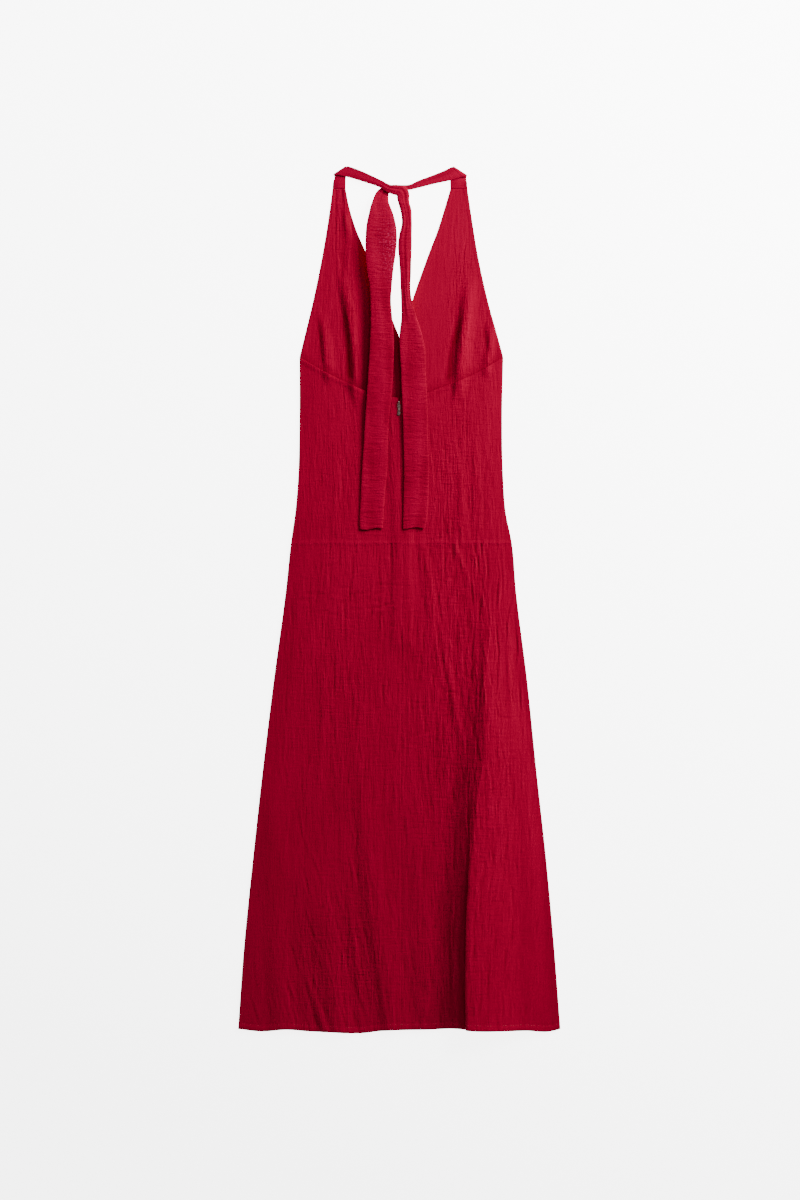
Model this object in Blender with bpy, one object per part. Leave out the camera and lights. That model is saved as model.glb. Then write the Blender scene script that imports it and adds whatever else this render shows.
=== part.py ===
"""Long halter dress in crinkled crimson cloth, laid flat with its back up.

Sizes here are in millimetres: x runs to the right, up runs from the hem to the neck, and z is
the height off the floor. The meshes are made in metres, with +Y towards the neck.
"""
from typing import NamedTuple

import bmesh
import bpy
import numpy as np
from mathutils import Vector

MM = 0.001

# Cloth and the gaps that neighbours keep
WALL = 1.2
GAP = 0.3
FRONT_TOP = WALL
BACK_UNDER = FRONT_TOP + GAP
EDGE_ROUND = 0.4
EDGE_BAND = 1.2
PLAIN_RELIEF = 1.5

# Levels of the seams and ends, up from the hem
LENGTH = 1404.0
HIP_SEAM = 793.0
UNDERARM = 1095.0
V_POINT = 1128.0
TIE_SEAM = 1367.4
FRONT_HEM = 12.0

# Zip
ZIP_FOOT = 640.0
ZIP_TAPE_WIDTH = 18.0
ZIP_TAPE_THICK = 1.0
ZIP_LIFT = ZIP_TAPE_THICK + GAP
ZIP_RIDGE_FLAT = 9.8
ZIP_RIDGE_FOOT = 22.0
ZIP_FADE = 26.0
BESIDE_ZIP = (ZIP_RIDGE_FLAT, 5.0, EDGE_BAND, 0.0)
SLIDER_X = -0.4
SLIDER_LOW = 1014.5
SLIDER_LONG = 9.0
SLIDER_WIDE = 6.0
SLIDER_TOP = 7.8
BRIDGE_WIDE = 1.4
BRIDGE_LEG = 1.5
BRIDGE_BAR = 1.0
BRIDGE_BEVEL = 0.8
BODY_BEVEL = 1.2
EYE_ROOM = 0.95
PIVOT_UP = 1019.0
PIVOT_Z = 5.85
PULL_THICK = 0.9
PULL_TIP = 19.0
PULL_DROP = 2.3
PULL_NECK = 1.5
PULL_ARM = 1.0
PULL_PLAY = 0.35
PULL_SHOULDER = 5.4
ZIP_TOP = 1026.0
SLIT_HALF = 1.05
SEAM_HALF = 0.15

# Ties
TIE_THICK = 1.5
FOLD_RADIUS = 1.0
KNOT_LEFT = -24.5
KNOT_RIGHT = 3.0
KNOT_UP = 1364.9
KNOT_Z = 4.8
KNOT_SPREAD = 4.8
KNOT_DEPTH = 2.5
KNOT_HALF_TURNS = 3
KNOT_STEPS = 15
STRAND_HALF = 4.0
STRAND_SWELL = 2.4
STRAND_THICK = 4.0
TURN_GAP = 1.0
TURN_SPREAD = 5.0
TURN_SWELL = 1.2
TURN_STEPS = 4


class Side(NamedTuple):
    """One level of the laid dress and its two side edges."""
    up: float
    left: float
    right: float


SIDES = [
    Side(up=0, left=-261.0, right=261.0),
    Side(up=134, left=-251.5, right=251.0),
    Side(up=280, left=-237.0, right=238.0),
    Side(up=426, left=-221.0, right=222.0),
    Side(up=572, left=-203.0, right=207.0),
    Side(up=718, left=-183.5, right=189.0),
    Side(up=793, left=-175.5, right=182.5),
    Side(up=847, left=-168.0, right=172.0),
    Side(up=896, left=-164.0, right=168.5),
    Side(up=993, left=-161.5, right=166.5),
    Side(up=1095, left=-161.5, right=168.5),
]

ARMHOLES = [
    Side(up=1095, left=-161.5, right=168.5),
    Side(up=1132, left=-152.5, right=158.5),
    Side(up=1171, left=-143.0, right=147.5),
    Side(up=1249, left=-126.5, right=129.5),
    Side(up=1327, left=-113.5, right=116.5),
    Side(up=1368, left=-108.0, right=110.5),
]

NECK_V = [
    Side(up=1128, left=0.0, right=0.3),
    Side(up=1153, left=-10.0, right=9.5),
    Side(up=1210, left=-33.0, right=29.0),
    Side(up=1268, left=-55.5, right=50.0),
    Side(up=1298, left=-68.5, right=61.5),
    Side(up=1336, left=-80.5, right=73.5),
    Side(up=1368, left=-87.0, right=83.0),
]


class Level(NamedTuple):
    """A point of a line that is read across the dress."""
    x: float
    up: float


NECKLINE = [
    Level(x=-162, up=1095),
    Level(x=-128, up=1075),
    Level(x=-80, up=1051),
    Level(x=-55, up=1040),
    Level(x=-30, up=1033),
    Level(x=0, up=1029),
    Level(x=34, up=1034),
    Level(x=66, up=1045),
    Level(x=115, up=1064),
    Level(x=169, up=1095),
]

BACK_HEM = [
    Level(x=-261, up=7),
    Level(x=-222, up=3),
    Level(x=-184, up=6),
    Level(x=-145, up=3),
    Level(x=-106, up=1.5),
    Level(x=-64, up=0),
    Level(x=-28, up=4),
    Level(x=50, up=6),
    Level(x=105, up=9),
    Level(x=113, up=3),
    Level(x=166, up=3),
    Level(x=205, up=5),
    Level(x=244, up=3),
    Level(x=261, up=7),
]


class Middle(NamedTuple):
    """One level of the seam down the middle of the back."""
    up: float
    x: float


BACK_SEAM = [
    Middle(up=0, x=3.5),
    Middle(up=620, x=4.0),
    Middle(up=793, x=5.5),
    Middle(up=1000, x=-0.4),
    Middle(up=1030, x=-0.4),
]


class Crest(NamedTuple):
    """One level of the large skirt fold: its crest, rise, and the widths of its two slopes."""
    up: float
    x: float
    rise: float
    steep: float
    gentle: float


GREAT_FOLD = [
    Crest(up=0, x=112.0, rise=21.0, steep=4.5, gentle=92.0),
    Crest(up=70, x=110.0, rise=20.0, steep=5.0, gentle=90.0),
    Crest(up=143, x=109.0, rise=18.0, steep=6.0, gentle=86.0),
    Crest(up=248, x=113.5, rise=14.5, steep=8.0, gentle=80.0),
    Crest(up=345, x=118.5, rise=10.5, steep=12.0, gentle=72.0),
    Crest(up=442, x=128.0, rise=6.5, steep=17.0, gentle=60.0),
    Crest(up=540, x=140.0, rise=3.4, steep=20.0, gentle=40.0),
    Crest(up=640, x=146.0, rise=1.2, steep=20.0, gentle=30.0),
    Crest(up=700, x=146.0, rise=0.0, steep=20.0, gentle=30.0),
    Crest(up=793, x=142.0, rise=0.0, steep=20.0, gentle=30.0),
]


class Fold(NamedTuple):
    """A soft fold: where its crest starts and ends, its rise at three places, and its widths."""
    head_x: float
    head_up: float
    foot_x: float
    foot_up: float
    bow: float
    head: float
    middle: float
    foot: float
    left: float
    right: float


BACK_FOLDS = [
    Fold(-74, 560, -14, 0, -8, 0.0, 1.6, 3.6, 16, 46),
    Fold(-150, 300, -98, 0, 4, 0.0, 1.2, 3.2, 34, 34),
    Fold(-205, 420, -190, 0, -5, 0.0, 0.9, 1.6, 26, 30),
    Fold(138, 730, 128, 430, 3, 0.0, 1.4, 0.0, 11, 14),
    Fold(66, 690, 112, 400, -3, 0.0, 1.2, 0.0, 10, 14),
    Fold(36, 790, 62, 560, 2, 0.7, 0.9, 0.0, 9, 12),
    Fold(196, 560, 214, 60, 3, 0.0, 0.8, 0.9, 22, 26),
    Fold(24, 420, 40, 40, 2, 0.0, 0.7, 0.9, 22, 26),
    Fold(92, 960, 100, 800, 3, 0.0, 1.0, 0.7, 9, 12),
    Fold(124, 1010, 130, 820, -3, 0.0, 0.8, 0.6, 11, 12),
    Fold(-110, 1010, -104, 810, 2, 0.0, 0.6, 0.4, 14, 16),
]

FRONT_FOLDS = [
    Fold(-96, 1262, -72, 1030, 2, 0.0, 4.6, 3.2, 12, 24),
    Fold(-137, 1185, -116, 1060, 4, 0.0, 2.2, 1.8, 9, 18),
    Fold(118, 1250, 94, 1030, -3, 0.0, 4.8, 3.4, 13, 22),
    Fold(150, 1160, 140, 1070, 0, 0.0, 2.4, 1.8, 9, 12),
    Fold(-92, 1352, -78, 1270, 0, 0.0, 1.4, 0.0, 8, 9),
]

AIR_UNDER_BACK = 0.9
AIR_FADE = 30.0
HALTER_FOLD_FADE = 45.0
HALTER_FOLD_RISE = 16.0


class Tail(NamedTuple):
    """One level of a hanging tie end: its middle, width, thickness, and lift off the back."""
    up: float
    x: float
    wide: float
    thick: float
    lift: float


LEFT_TAIL = [
    Tail(up=1345, x=-30.5, wide=27.5, thick=2.4, lift=2.2),
    Tail(up=1327, x=-29.6, wide=39.0, thick=1.8, lift=3.4),
    Tail(up=1307, x=-29.2, wide=48.0, thick=1.6, lift=4.6),
    Tail(up=1284, x=-29.2, wide=51.0, thick=1.6, lift=5.4),
    Tail(up=1260, x=-30.2, wide=48.5, thick=1.6, lift=5.8),
    Tail(up=1236, x=-30.8, wide=43.0, thick=1.8, lift=6.0),
    Tail(up=1210, x=-30.0, wide=36.5, thick=2.2, lift=6.0),
    Tail(up=1187, x=-30.0, wide=33.5, thick=2.2, lift=6.0),
    Tail(up=1155, x=-28.5, wide=35.0, thick=1.8, lift=6.0),
    Tail(up=1122, x=-27.1, wide=37.5, thick=1.6, lift=6.0),
    Tail(up=1090, x=-28.4, wide=38.0, thick=1.6, lift=5.6),
    Tail(up=1058, x=-31.2, wide=37.5, thick=1.6, lift=5.0),
    Tail(up=1025, x=-34.0, wide=38.0, thick=1.6, lift=4.2),
    Tail(up=993, x=-36.0, wide=38.5, thick=1.6, lift=3.4),
    Tail(up=961, x=-37.7, wide=39.0, thick=1.6, lift=2.7),
    Tail(up=912, x=-40.1, wide=40.5, thick=1.6, lift=2.0),
    Tail(up=863, x=-43.3, wide=39.0, thick=1.6, lift=1.5),
    Tail(up=830, x=-45.3, wide=38.5, thick=1.6, lift=1.3),
    Tail(up=816, x=-45.4, wide=37.0, thick=1.6, lift=1.3),
]

RIGHT_TAIL = [
    Tail(up=1345, x=7.2, wide=18.5, thick=3.6, lift=2.6),
    Tail(up=1333, x=10.5, wide=18.5, thick=3.6, lift=3.2),
    Tail(up=1320, x=12.1, wide=16.5, thick=3.8, lift=4.0),
    Tail(up=1307, x=12.2, wide=17.0, thick=3.6, lift=4.6),
    Tail(up=1294, x=10.4, wide=20.0, thick=3.2, lift=5.2),
    Tail(up=1276, x=9.2, wide=22.4, thick=3.0, lift=5.6),
    Tail(up=1252, x=9.6, wide=20.0, thick=3.2, lift=6.0),
    Tail(up=1228, x=10.1, wide=17.8, thick=3.6, lift=6.2),
    Tail(up=1202, x=10.2, wide=16.0, thick=3.8, lift=6.2),
    Tail(up=1180, x=12.3, wide=18.5, thick=3.4, lift=6.2),
    Tail(up=1160, x=15.4, wide=24.0, thick=2.8, lift=6.0),
    Tail(up=1130, x=18.6, wide=36.5, thick=1.9, lift=6.0),
    Tail(up=1106, x=21.1, wide=41.0, thick=1.7, lift=5.8),
    Tail(up=1074, x=22.7, wide=40.0, thick=1.6, lift=5.2),
    Tail(up=1042, x=24.0, wide=40.5, thick=1.6, lift=4.6),
    Tail(up=1009, x=25.5, wide=40.5, thick=1.6, lift=4.0),
    Tail(up=961, x=26.7, wide=40.0, thick=1.6, lift=3.0),
    Tail(up=912, x=27.9, wide=40.5, thick=1.6, lift=2.2),
    Tail(up=863, x=26.7, wide=40.0, thick=1.6, lift=1.6),
    Tail(up=830, x=25.0, wide=38.0, thick=1.6, lift=1.3),
    Tail(up=818, x=23.8, wide=36.0, thick=1.6, lift=1.3),
]


class Station(NamedTuple):
    """One crossing of a tie: its two edge points, its thickness and how round it is."""
    low: tuple
    high: tuple
    thick: float
    round: float


LEFT_STRAP = [
    Station((-98.0, 1388.0, 2.8), (-82.5, 1403.4, 2.8), TIE_THICK, 0.0),
    Station((-88.0, 1387.8, 2.9), (-75.0, 1401.4, 2.9), TIE_THICK, 0.0),
    Station((-68.0, 1381.8, 3.2), (-60.0, 1396.0, 3.2), 1.8, 0.2),
    Station((-47.0, 1375.0, 3.8), (-42.0, 1388.6, 3.8), 2.4, 0.4),
    Station((-33.0, 1369.6, 4.5), (-30.5, 1379.6, 4.5), 3.4, 0.8),
]

RIGHT_STRAP = [
    Station((100.0, 1388.0, 2.8), (83.5, 1403.2, 2.8), TIE_THICK, 0.0),
    Station((86.0, 1386.6, 2.9), (74.0, 1399.8, 2.9), TIE_THICK, 0.0),
    Station((62.0, 1378.8, 3.3), (54.0, 1391.4, 3.3), 1.8, 0.2),
    Station((38.0, 1371.4, 4.0), (32.0, 1381.4, 4.0), 2.4, 0.4),
    Station((18.0, 1365.8, 4.7), (15.0, 1373.8, 4.7), 3.4, 0.8),
]

LEFT_CORNER = ((-107.6, 1386.7), (-86.9, 1404.5))
RIGHT_CORNER = ((109.9, 1386.7), (87.6, 1404.5))

MATERIALS = {}


def make_material(name, colour, roughness, metallic):
    """A Principled material, made once and then shared."""
    if name not in MATERIALS:
        material = bpy.data.materials.new(name)
        material.use_nodes = True
        shader = material.node_tree.nodes["Principled BSDF"]
        shader.inputs["Base Color"].default_value = (*colour, 1.0)
        shader.inputs["Roughness"].default_value = roughness
        shader.inputs["Metallic"].default_value = metallic
        MATERIALS[name] = material
    return MATERIALS[name]


def crimson_cloth():
    return make_material("crimson_cloth", (0.39, 0.002, 0.020), 0.85, 0.0)


def zip_metal():
    return make_material("zip_metal", (0.62, 0.60, 0.58), 0.32, 1.0)


def zip_tape_cloth():
    return make_material("zip_tape", (0.30, 0.002, 0.016), 0.80, 0.0)


def follow(rows, column, at, along="up"):
    """Read one column of a table on a smooth curve through its rows."""
    places = np.array([getattr(row, along) for row in rows], dtype=float)
    values = np.array([getattr(row, column) for row in rows], dtype=float)
    slopes = np.gradient(values, places)
    at = np.clip(at, places[0], places[-1])
    k = np.clip(np.searchsorted(places, at) - 1, 0, len(rows) - 2)
    span = places[k + 1] - places[k]
    t = (at - places[k]) / span
    start = (1 + 2 * t) * (1 - t) ** 2
    end = t * t * (3 - 2 * t)
    bend_in = t * (1 - t) ** 2 * span
    bend_out = t * t * (t - 1) * span
    return (start * values[k] + end * values[k + 1]
            + bend_in * slopes[k] + bend_out * slopes[k + 1])


def ease(t):
    """Rise smoothly from 0 to 1."""
    t = np.clip(t, 0.0, 1.0)
    return t * t * (3 - 2 * t)


def soft_folds(folds, x, up):
    """Height that the soft folds add at a place on the cloth."""
    height = 0.0
    for fold in folds:
        along = (fold.head_up - up) / (fold.head_up - fold.foot_up)
        if -0.1 < along < 1.1:
            t = np.clip(along, 0.0, 1.0)
            crest = fold.head_x + (fold.foot_x - fold.head_x) * t
            crest += fold.bow * np.sin(np.pi * t)
            first = fold.head + (fold.middle - fold.head) * ease(2 * t)
            rise = first + (fold.foot - fold.middle) * ease(2 * t - 1)
            width = fold.left if x < crest else fold.right
            beside = min(1.0, abs(x - crest) / width)
            past_end = max(0.0, abs(along - 0.5) - 0.5) * 10
            height += rise * 0.5 * (1 + np.cos(np.pi * beside)) * (1 - past_end)
    return height


def great_fold(x, up):
    """Height of the large fold at the right of the skirt: steep on its left, gentle right."""
    crest = follow(GREAT_FOLD, "x", up)
    rise = max(0.0, follow(GREAT_FOLD, "rise", up))
    if x < crest:
        return rise * ease(1 + (x - crest) / follow(GREAT_FOLD, "steep", up))
    beside = min(1.0, (x - crest) / follow(GREAT_FOLD, "gentle", up))
    return rise * 0.5 * (1 + np.cos(np.pi * beside))


def zip_ridge(x, up):
    """How far the back is lifted over the zip tape."""
    beside = abs(x - follow(BACK_SEAM, "x", up)) - ZIP_RIDGE_FLAT
    across = 1 - ease(beside / (ZIP_RIDGE_FOOT - ZIP_RIDGE_FLAT))
    along = ease((up - (ZIP_FOOT - ZIP_FADE - 4)) / ZIP_FADE)
    return ZIP_LIFT * across * along


def side_air(x, up):
    """Air under the cloth, gone at the side seams."""
    left = x - follow(SIDES, "left", up)
    right = follow(SIDES, "right", up) - x
    return AIR_UNDER_BACK * ease(min(left, right) / AIR_FADE)


def back_relief(x, up):
    """Height of the back over its plain layer, zip ridge apart."""
    return side_air(x, up) + great_fold(x, up) + soft_folds(BACK_FOLDS, x, up)


def above_neckline(x, up):
    """How far a place is above the neckline of the back, negative under the back."""
    return up - follow(NECKLINE, "up", x, along="x")


def back_lift(x, up):
    """How far the whole wall of the back is lifted: over the zip, and over the halter folds."""
    near = ease((above_neckline(x, up) + HALTER_FOLD_FADE) / HALTER_FOLD_FADE)
    return zip_ridge(x, up) + soft_folds(FRONT_FOLDS, x, up) * near


def back_top(x, up):
    """Upper face of the back."""
    return BACK_UNDER + WALL + back_lift(x, up) + back_relief(x, up)


def front_relief(x, up):
    """Height of the halter panels over their plain layer, low where the back covers them."""
    above = above_neckline(x, up)
    covered = ease((above + HALTER_FOLD_FADE) / HALTER_FOLD_FADE)
    bare = ease(above / HALTER_FOLD_RISE)
    return soft_folds(FRONT_FOLDS, x, up) * (0.5 * covered + 0.5 * bare)


def add_object(name, mesh, material):
    """Put a mesh in the scene as a named piece."""
    piece = bpy.data.objects.new(name, mesh)
    mesh.materials.append(material)
    bpy.context.scene.collection.objects.link(piece)
    return piece


def mesh_from(name, points, faces, material):
    """Make a piece from points in millimetres, its faces turned outwards."""
    mesh = bpy.data.meshes.new(name)
    shifted = np.array(points) - np.array([0.0, LENGTH / 2, 0.0])
    mesh.from_pydata((shifted * MM).tolist(), [], faces)
    work = bmesh.new()
    work.from_mesh(mesh)
    bmesh.ops.recalc_face_normals(work, faces=work.faces)
    work.to_mesh(mesh)
    work.free()
    mesh.shade_smooth()
    mesh.set_sharp_from_angle(angle=np.radians(40))
    return add_object(name, mesh, material)


def grid_faces(rows, columns, start, flip):
    """Quads of a grid of points."""
    faces = []
    for i in range(rows - 1):
        for j in range(columns - 1):
            a = start + i * columns + j
            quad = (a, a + 1, a + columns + 1, a + columns)
            faces.append(quad[::-1] if flip else quad)
    return faces


def rim_faces(rows, columns, under):
    """Quads that join the upper and lower grids all round."""
    loop = list(range(columns))
    loop += [i * columns + columns - 1 for i in range(1, rows)]
    loop += [(rows - 1) * columns + j for j in range(columns - 2, -1, -1)]
    loop += [i * columns for i in range(rows - 2, 0, -1)]
    faces = []
    for k, a in enumerate(loop):
        b = loop[(k + 1) % len(loop)]
        faces.append((a, a + under, b + under, b))
    return faces


def grid_normals(top):
    """Unit normals of a grid of points, upwards."""
    along = np.gradient(top, axis=0)
    across = np.gradient(top, axis=1)
    normals = np.cross(across, along)
    normals /= np.linalg.norm(normals, axis=2, keepdims=True)
    return normals * np.where(normals[..., 2:] < 0, -1.0, 1.0)


def cloth_wall(name, plan, layer_under, lift, relief):
    """A wall of cloth over a grid of (x, up) places.

    Low relief leaves the inside plain. Where the relief is high, the inside follows it at the
    wall's thickness.
    """
    rows, columns, _ = plan.shape
    lifts = np.array([[lift(x, up) for x, up in row] for row in plan])
    reliefs = np.array([[relief(x, up) for x, up in row] for row in plan])
    base = layer_under + lifts
    top = np.dstack([plan, base + WALL + reliefs])
    plain = np.dstack([plan, base])
    offset = top - WALL * grid_normals(top)
    offset[..., 2] = np.maximum(offset[..., 2], base)
    offset[0, :, :2] = plan[0]
    offset[-1, :, :2] = plan[-1]
    offset[:, 0, :2] = plan[:, 0]
    offset[:, -1, :2] = plan[:, -1]
    follows = ease((reliefs - PLAIN_RELIEF + 0.5) / 1.0)[..., None]
    under = plain * (1 - follows) + offset * follows
    rim = np.zeros((rows, columns), dtype=bool)
    rim[[0, -1], :] = True
    rim[:, [0, -1]] = True
    top[rim, 2] -= EDGE_ROUND
    points = np.vstack([top.reshape(-1, 3), under.reshape(-1, 3)])
    count = rows * columns
    faces = grid_faces(rows, columns, 0, False)
    faces += grid_faces(rows, columns, count, True)
    faces += rim_faces(rows, columns, count)
    return mesh_from(name, points, faces, crimson_cloth())


def across_row(marks, counts):
    """Places between a row's marks, each stretch split evenly into its count of steps."""
    steps = [0.0]
    for k, count in enumerate(counts):
        steps += [k + (i + 1) / count for i in range(count)]
    return np.interp(steps, range(len(marks)), marks)


def side_edge(side, up):
    """Side edge of the skirt and bodice at a level."""
    return follow(SIDES, side, up)


def seam_half(up):
    """Half of the gap down the middle of the back, wider where the zip slider comes out."""
    opens = ease((up - (SLIDER_LOW - 9)) / 6)
    return SEAM_HALF + (SLIT_HALF - SEAM_HALF) * opens


def centre_edge(side, up):
    """Edge of a back panel at the middle seam."""
    sign = -1 if side == "left" else 1
    return follow(BACK_SEAM, "x", up) + sign * seam_half(up)


def back_hem(x):
    """Level of the back's hem, nowhere below the lowest point of the dress."""
    return max(0.0, follow(BACK_HEM, "up", x, along="x"))


def inward(side):
    """Direction from a side edge to the middle."""
    return 1 if side == "left" else -1


def skirt_levels():
    """Levels of the back skirt's rows, as fractions from the hem to the hip seam."""
    top = HIP_SEAM - SEAM_HALF
    levels = [0.0, EDGE_BAND, 18]
    levels += list(np.linspace(40, 600, 25))
    levels += [ZIP_FOOT - ZIP_FADE - 4, ZIP_FOOT - 4, 662, 690, 718, 745, 770, top - EDGE_BAND, top]
    return [level / top for level in levels]


def skirt_back(side):
    """One back skirt panel, from the hem to the hip seam."""
    top = HIP_SEAM - SEAM_HALF
    plan = []
    for fraction in skirt_levels():
        level = fraction * top
        edge = side_edge(side, level)
        middle = centre_edge(side, level)
        inner = inward(side)
        marks = [edge, edge + inner * EDGE_BAND, middle - inner * ZIP_RIDGE_FOOT,
                 middle - inner * ZIP_RIDGE_FLAT, middle - inner * EDGE_BAND, middle]
        counts = [1, 15, 2, 1, 1]
        if side == "right":
            crest = follow(GREAT_FOLD, "x", level)
            steep = follow(GREAT_FOLD, "steep", level)
            gentle = min(follow(GREAT_FOLD, "gentle", level), edge - crest - 8)
            marks[2:2] = [crest + gentle, crest + 2.5, crest - steep * 0.15, crest - steep]
            counts = [1, 3, 9, 1, 4, 7, 2, 1, 1]
        xs = across_row(marks, counts)
        hem = np.array([back_hem(x) for x in xs])
        plan.append(np.column_stack([xs, hem + fraction * (top - hem)]))
    return cloth_wall("skirt_back_" + side, np.array(plan), BACK_UNDER, back_lift, back_relief)


def bodice_back(side):
    """One back bodice panel, from the hip seam to the scooped neckline."""
    bottom = HIP_SEAM + SEAM_HALF
    inner = inward(side)
    fractions = [0.0, 0.006] + list(np.linspace(0.05, 0.96, 17)) + [0.994, 1.0]
    plan = []
    for fraction in fractions:
        row = []
        rough = bottom + fraction * (NECKLINE[len(NECKLINE) // 2].up - bottom)
        across = [0.0, EDGE_BAND / 165] + list(np.linspace(0.06, 0.86, 11))
        marks = np.interp(across, [0, 1], [side_edge(side, rough), centre_edge(side, rough)])
        near = [centre_edge(side, rough) - inner * d for d in BESIDE_ZIP]
        for x in list(marks) + near:
            top = follow(NECKLINE, "up", x, along="x")
            up = bottom + fraction * (top - bottom)
            row.append((x, up))
        edge = side_edge(side, row[0][1])
        row[0] = (edge, row[0][1])
        row[1] = (edge + inner * EDGE_BAND, row[1][1])
        for k, beside in enumerate(BESIDE_ZIP, start=-len(BESIDE_ZIP)):
            up = row[k][1]
            row[k] = (centre_edge(side, up) - inner * beside, up)
        plan.append(row)
    return cloth_wall("bodice_back_" + side, np.array(plan), BACK_UNDER, back_lift, back_relief)


def skirt_front():
    """The front skirt, flat under the back."""
    top = HIP_SEAM - SEAM_HALF
    levels = [FRONT_HEM, FRONT_HEM + EDGE_BAND] + list(np.linspace(70, 730, 12))
    levels += [top - EDGE_BAND, top]
    plan = []
    for level in levels:
        left = side_edge("left", level)
        right = side_edge("right", level)
        marks = [left, left + EDGE_BAND, right - EDGE_BAND, right]
        xs = across_row(marks, [1, 6, 1])
        plan.append([(x, level) for x in xs])
    return cloth_wall("skirt_front", np.array(plan), 0.0, lambda x, up: 0.0, lambda x, up: 0.0)


def bodice_front(side):
    """One halter panel, from the hip seam to its tie."""
    bottom = HIP_SEAM + SEAM_HALF
    top = TIE_SEAM - SEAM_HALF
    levels = [bottom, bottom + EDGE_BAND, 850, 930, 1000]
    levels += list(np.linspace(1025, UNDERARM, 7))
    levels += list(np.linspace(UNDERARM, V_POINT, 4))[1:]
    levels += list(np.linspace(V_POINT, 1345, 20))[1:]
    levels += [1356, top - EDGE_BAND, top]
    inner = inward(side)
    plan = []
    for level in levels:
        outer = side_edge(side, level) if level <= UNDERARM else follow(ARMHOLES, side, level)
        centre = follow(NECK_V, side, level) - inner * SEAM_HALF
        marks = [outer, outer + inner * EDGE_BAND, centre - inner * EDGE_BAND, centre]
        xs = across_row(marks, [1, 17, 1])
        plan.append([(x, level) for x in xs])
    return cloth_wall("bodice_front_" + side, np.array(plan), 0.0,
                      lambda x, up: 0.0, front_relief)


def corner_wrap(corner):
    """Stations where a tie folds over along a slanting line."""
    low = np.array([*corner[0], 0.0])
    high = np.array([*corner[1], 0.0])
    line = (high - low) / np.linalg.norm(high - low)
    out = np.array([-line[1], line[0], 0.0])
    if out[1] < 0:
        out = -out
    inset = FOLD_RADIUS + TIE_THICK / 2
    stations = []
    for angle in np.radians([0, 45, 90, 135, 180]):
        move = out * (FOLD_RADIUS * np.sin(angle) - inset)
        move = move + np.array([0, 0, TIE_THICK / 2 + FOLD_RADIUS * (1 - np.cos(angle))])
        stations.append(Station(tuple(low + move), tuple(high + move), TIE_THICK, 0.0))
    return stations


def knot_strand(from_left):
    """Stations of one strand through the half knot, in the direction that it is tied."""
    stations = []
    for t in np.linspace(0.0, 1.0, KNOT_STEPS):
        turn = KNOT_HALF_TURNS * np.pi * t
        along = t if from_left else 1 - t
        x = KNOT_LEFT + (KNOT_RIGHT - KNOT_LEFT) * along
        sign = 1 if from_left else -1
        up = KNOT_UP + KNOT_SPREAD * np.cos(turn)
        z = KNOT_Z + sign * KNOT_DEPTH * np.sin(turn)
        half = STRAND_HALF + STRAND_SWELL * np.sin(turn) ** 2
        stations.append(Station((x, up - half, z), (x, up + half, z), STRAND_THICK, 1.0))
    return stations


def knot_turn(from_left):
    """Stations where a strand leaves the knot and turns down into its tail."""
    sign = 1 if from_left else -1
    pivot_x = KNOT_RIGHT if from_left else KNOT_LEFT
    pivot_up = KNOT_UP - KNOT_SPREAD - STRAND_HALF - TURN_GAP
    stations = []
    for step in range(1, TURN_STEPS + 1):
        angle = np.radians(90 * step / TURN_STEPS)
        reach = 2 * STRAND_HALF * (1 + TURN_SWELL * step / TURN_STEPS)
        out = np.array([sign * np.sin(angle), np.cos(angle)])
        near = np.array([pivot_x - sign * TURN_SPREAD * (step / TURN_STEPS) ** 2, pivot_up])
        near = near + out * TURN_GAP
        far = near + out * reach
        stations.append(Station((*near, KNOT_Z), (*far, KNOT_Z),
                                STRAND_THICK - 0.4 * step / TURN_STEPS, 0.9))
    return stations


def tail_stations(rows, from_left):
    """Stations of a hanging tie end, laid on the back."""
    stations = []
    for row in rows:
        edges = (row.x - row.wide / 2, row.x + row.wide / 2)
        under = max(back_top(x, row.up) for x in (edges[0], row.x, edges[1]))
        z = under + row.lift
        left = (edges[0], row.up, z)
        right = (edges[1], row.up, z)
        pair = (left, right) if from_left else (right, left)
        stations.append(Station(*pair, row.thick, 0.75 if row.thick > 2.5 else 0.1))
    return stations


def ribbon(name, stations):
    """A closed ribbon through its stations, thickest along its middle."""
    low = np.array([station.low for station in stations])
    high = np.array([station.high for station in stations])
    middle = (low + high) / 2
    half = (high - low) / 2
    travel = np.gradient(middle, axis=0)
    normals = np.cross(half, travel)
    normals /= np.linalg.norm(normals, axis=1, keepdims=True)
    spots = [-1, -0.93, -0.5, 0, 0.5, 0.93, 1]
    points = []
    for k, station in enumerate(stations):
        ring = []
        for side, places in ((1, spots), (-1, spots[-2:0:-1])):
            for spot in places:
                full = np.sqrt(1 - spot * spot)
                flat = 0.0 if abs(spot) == 1 else 1.0
                swell = flat + (full - flat) * station.round
                lean = normals[k] * side * swell * station.thick / 2
                ring.append(middle[k] + half[k] * spot + lean)
        points += ring
    size = 2 * len(spots) - 2
    faces = []
    for k in range(len(stations) - 1):
        for j in range(size):
            a = k * size + j
            b = k * size + (j + 1) % size
            faces.append((a, b, b + size, a + size))
    faces.append(tuple(range(size)))
    faces.append(tuple(range((len(stations) - 1) * size, len(stations) * size)))
    return mesh_from(name, points, faces, crimson_cloth())


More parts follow.
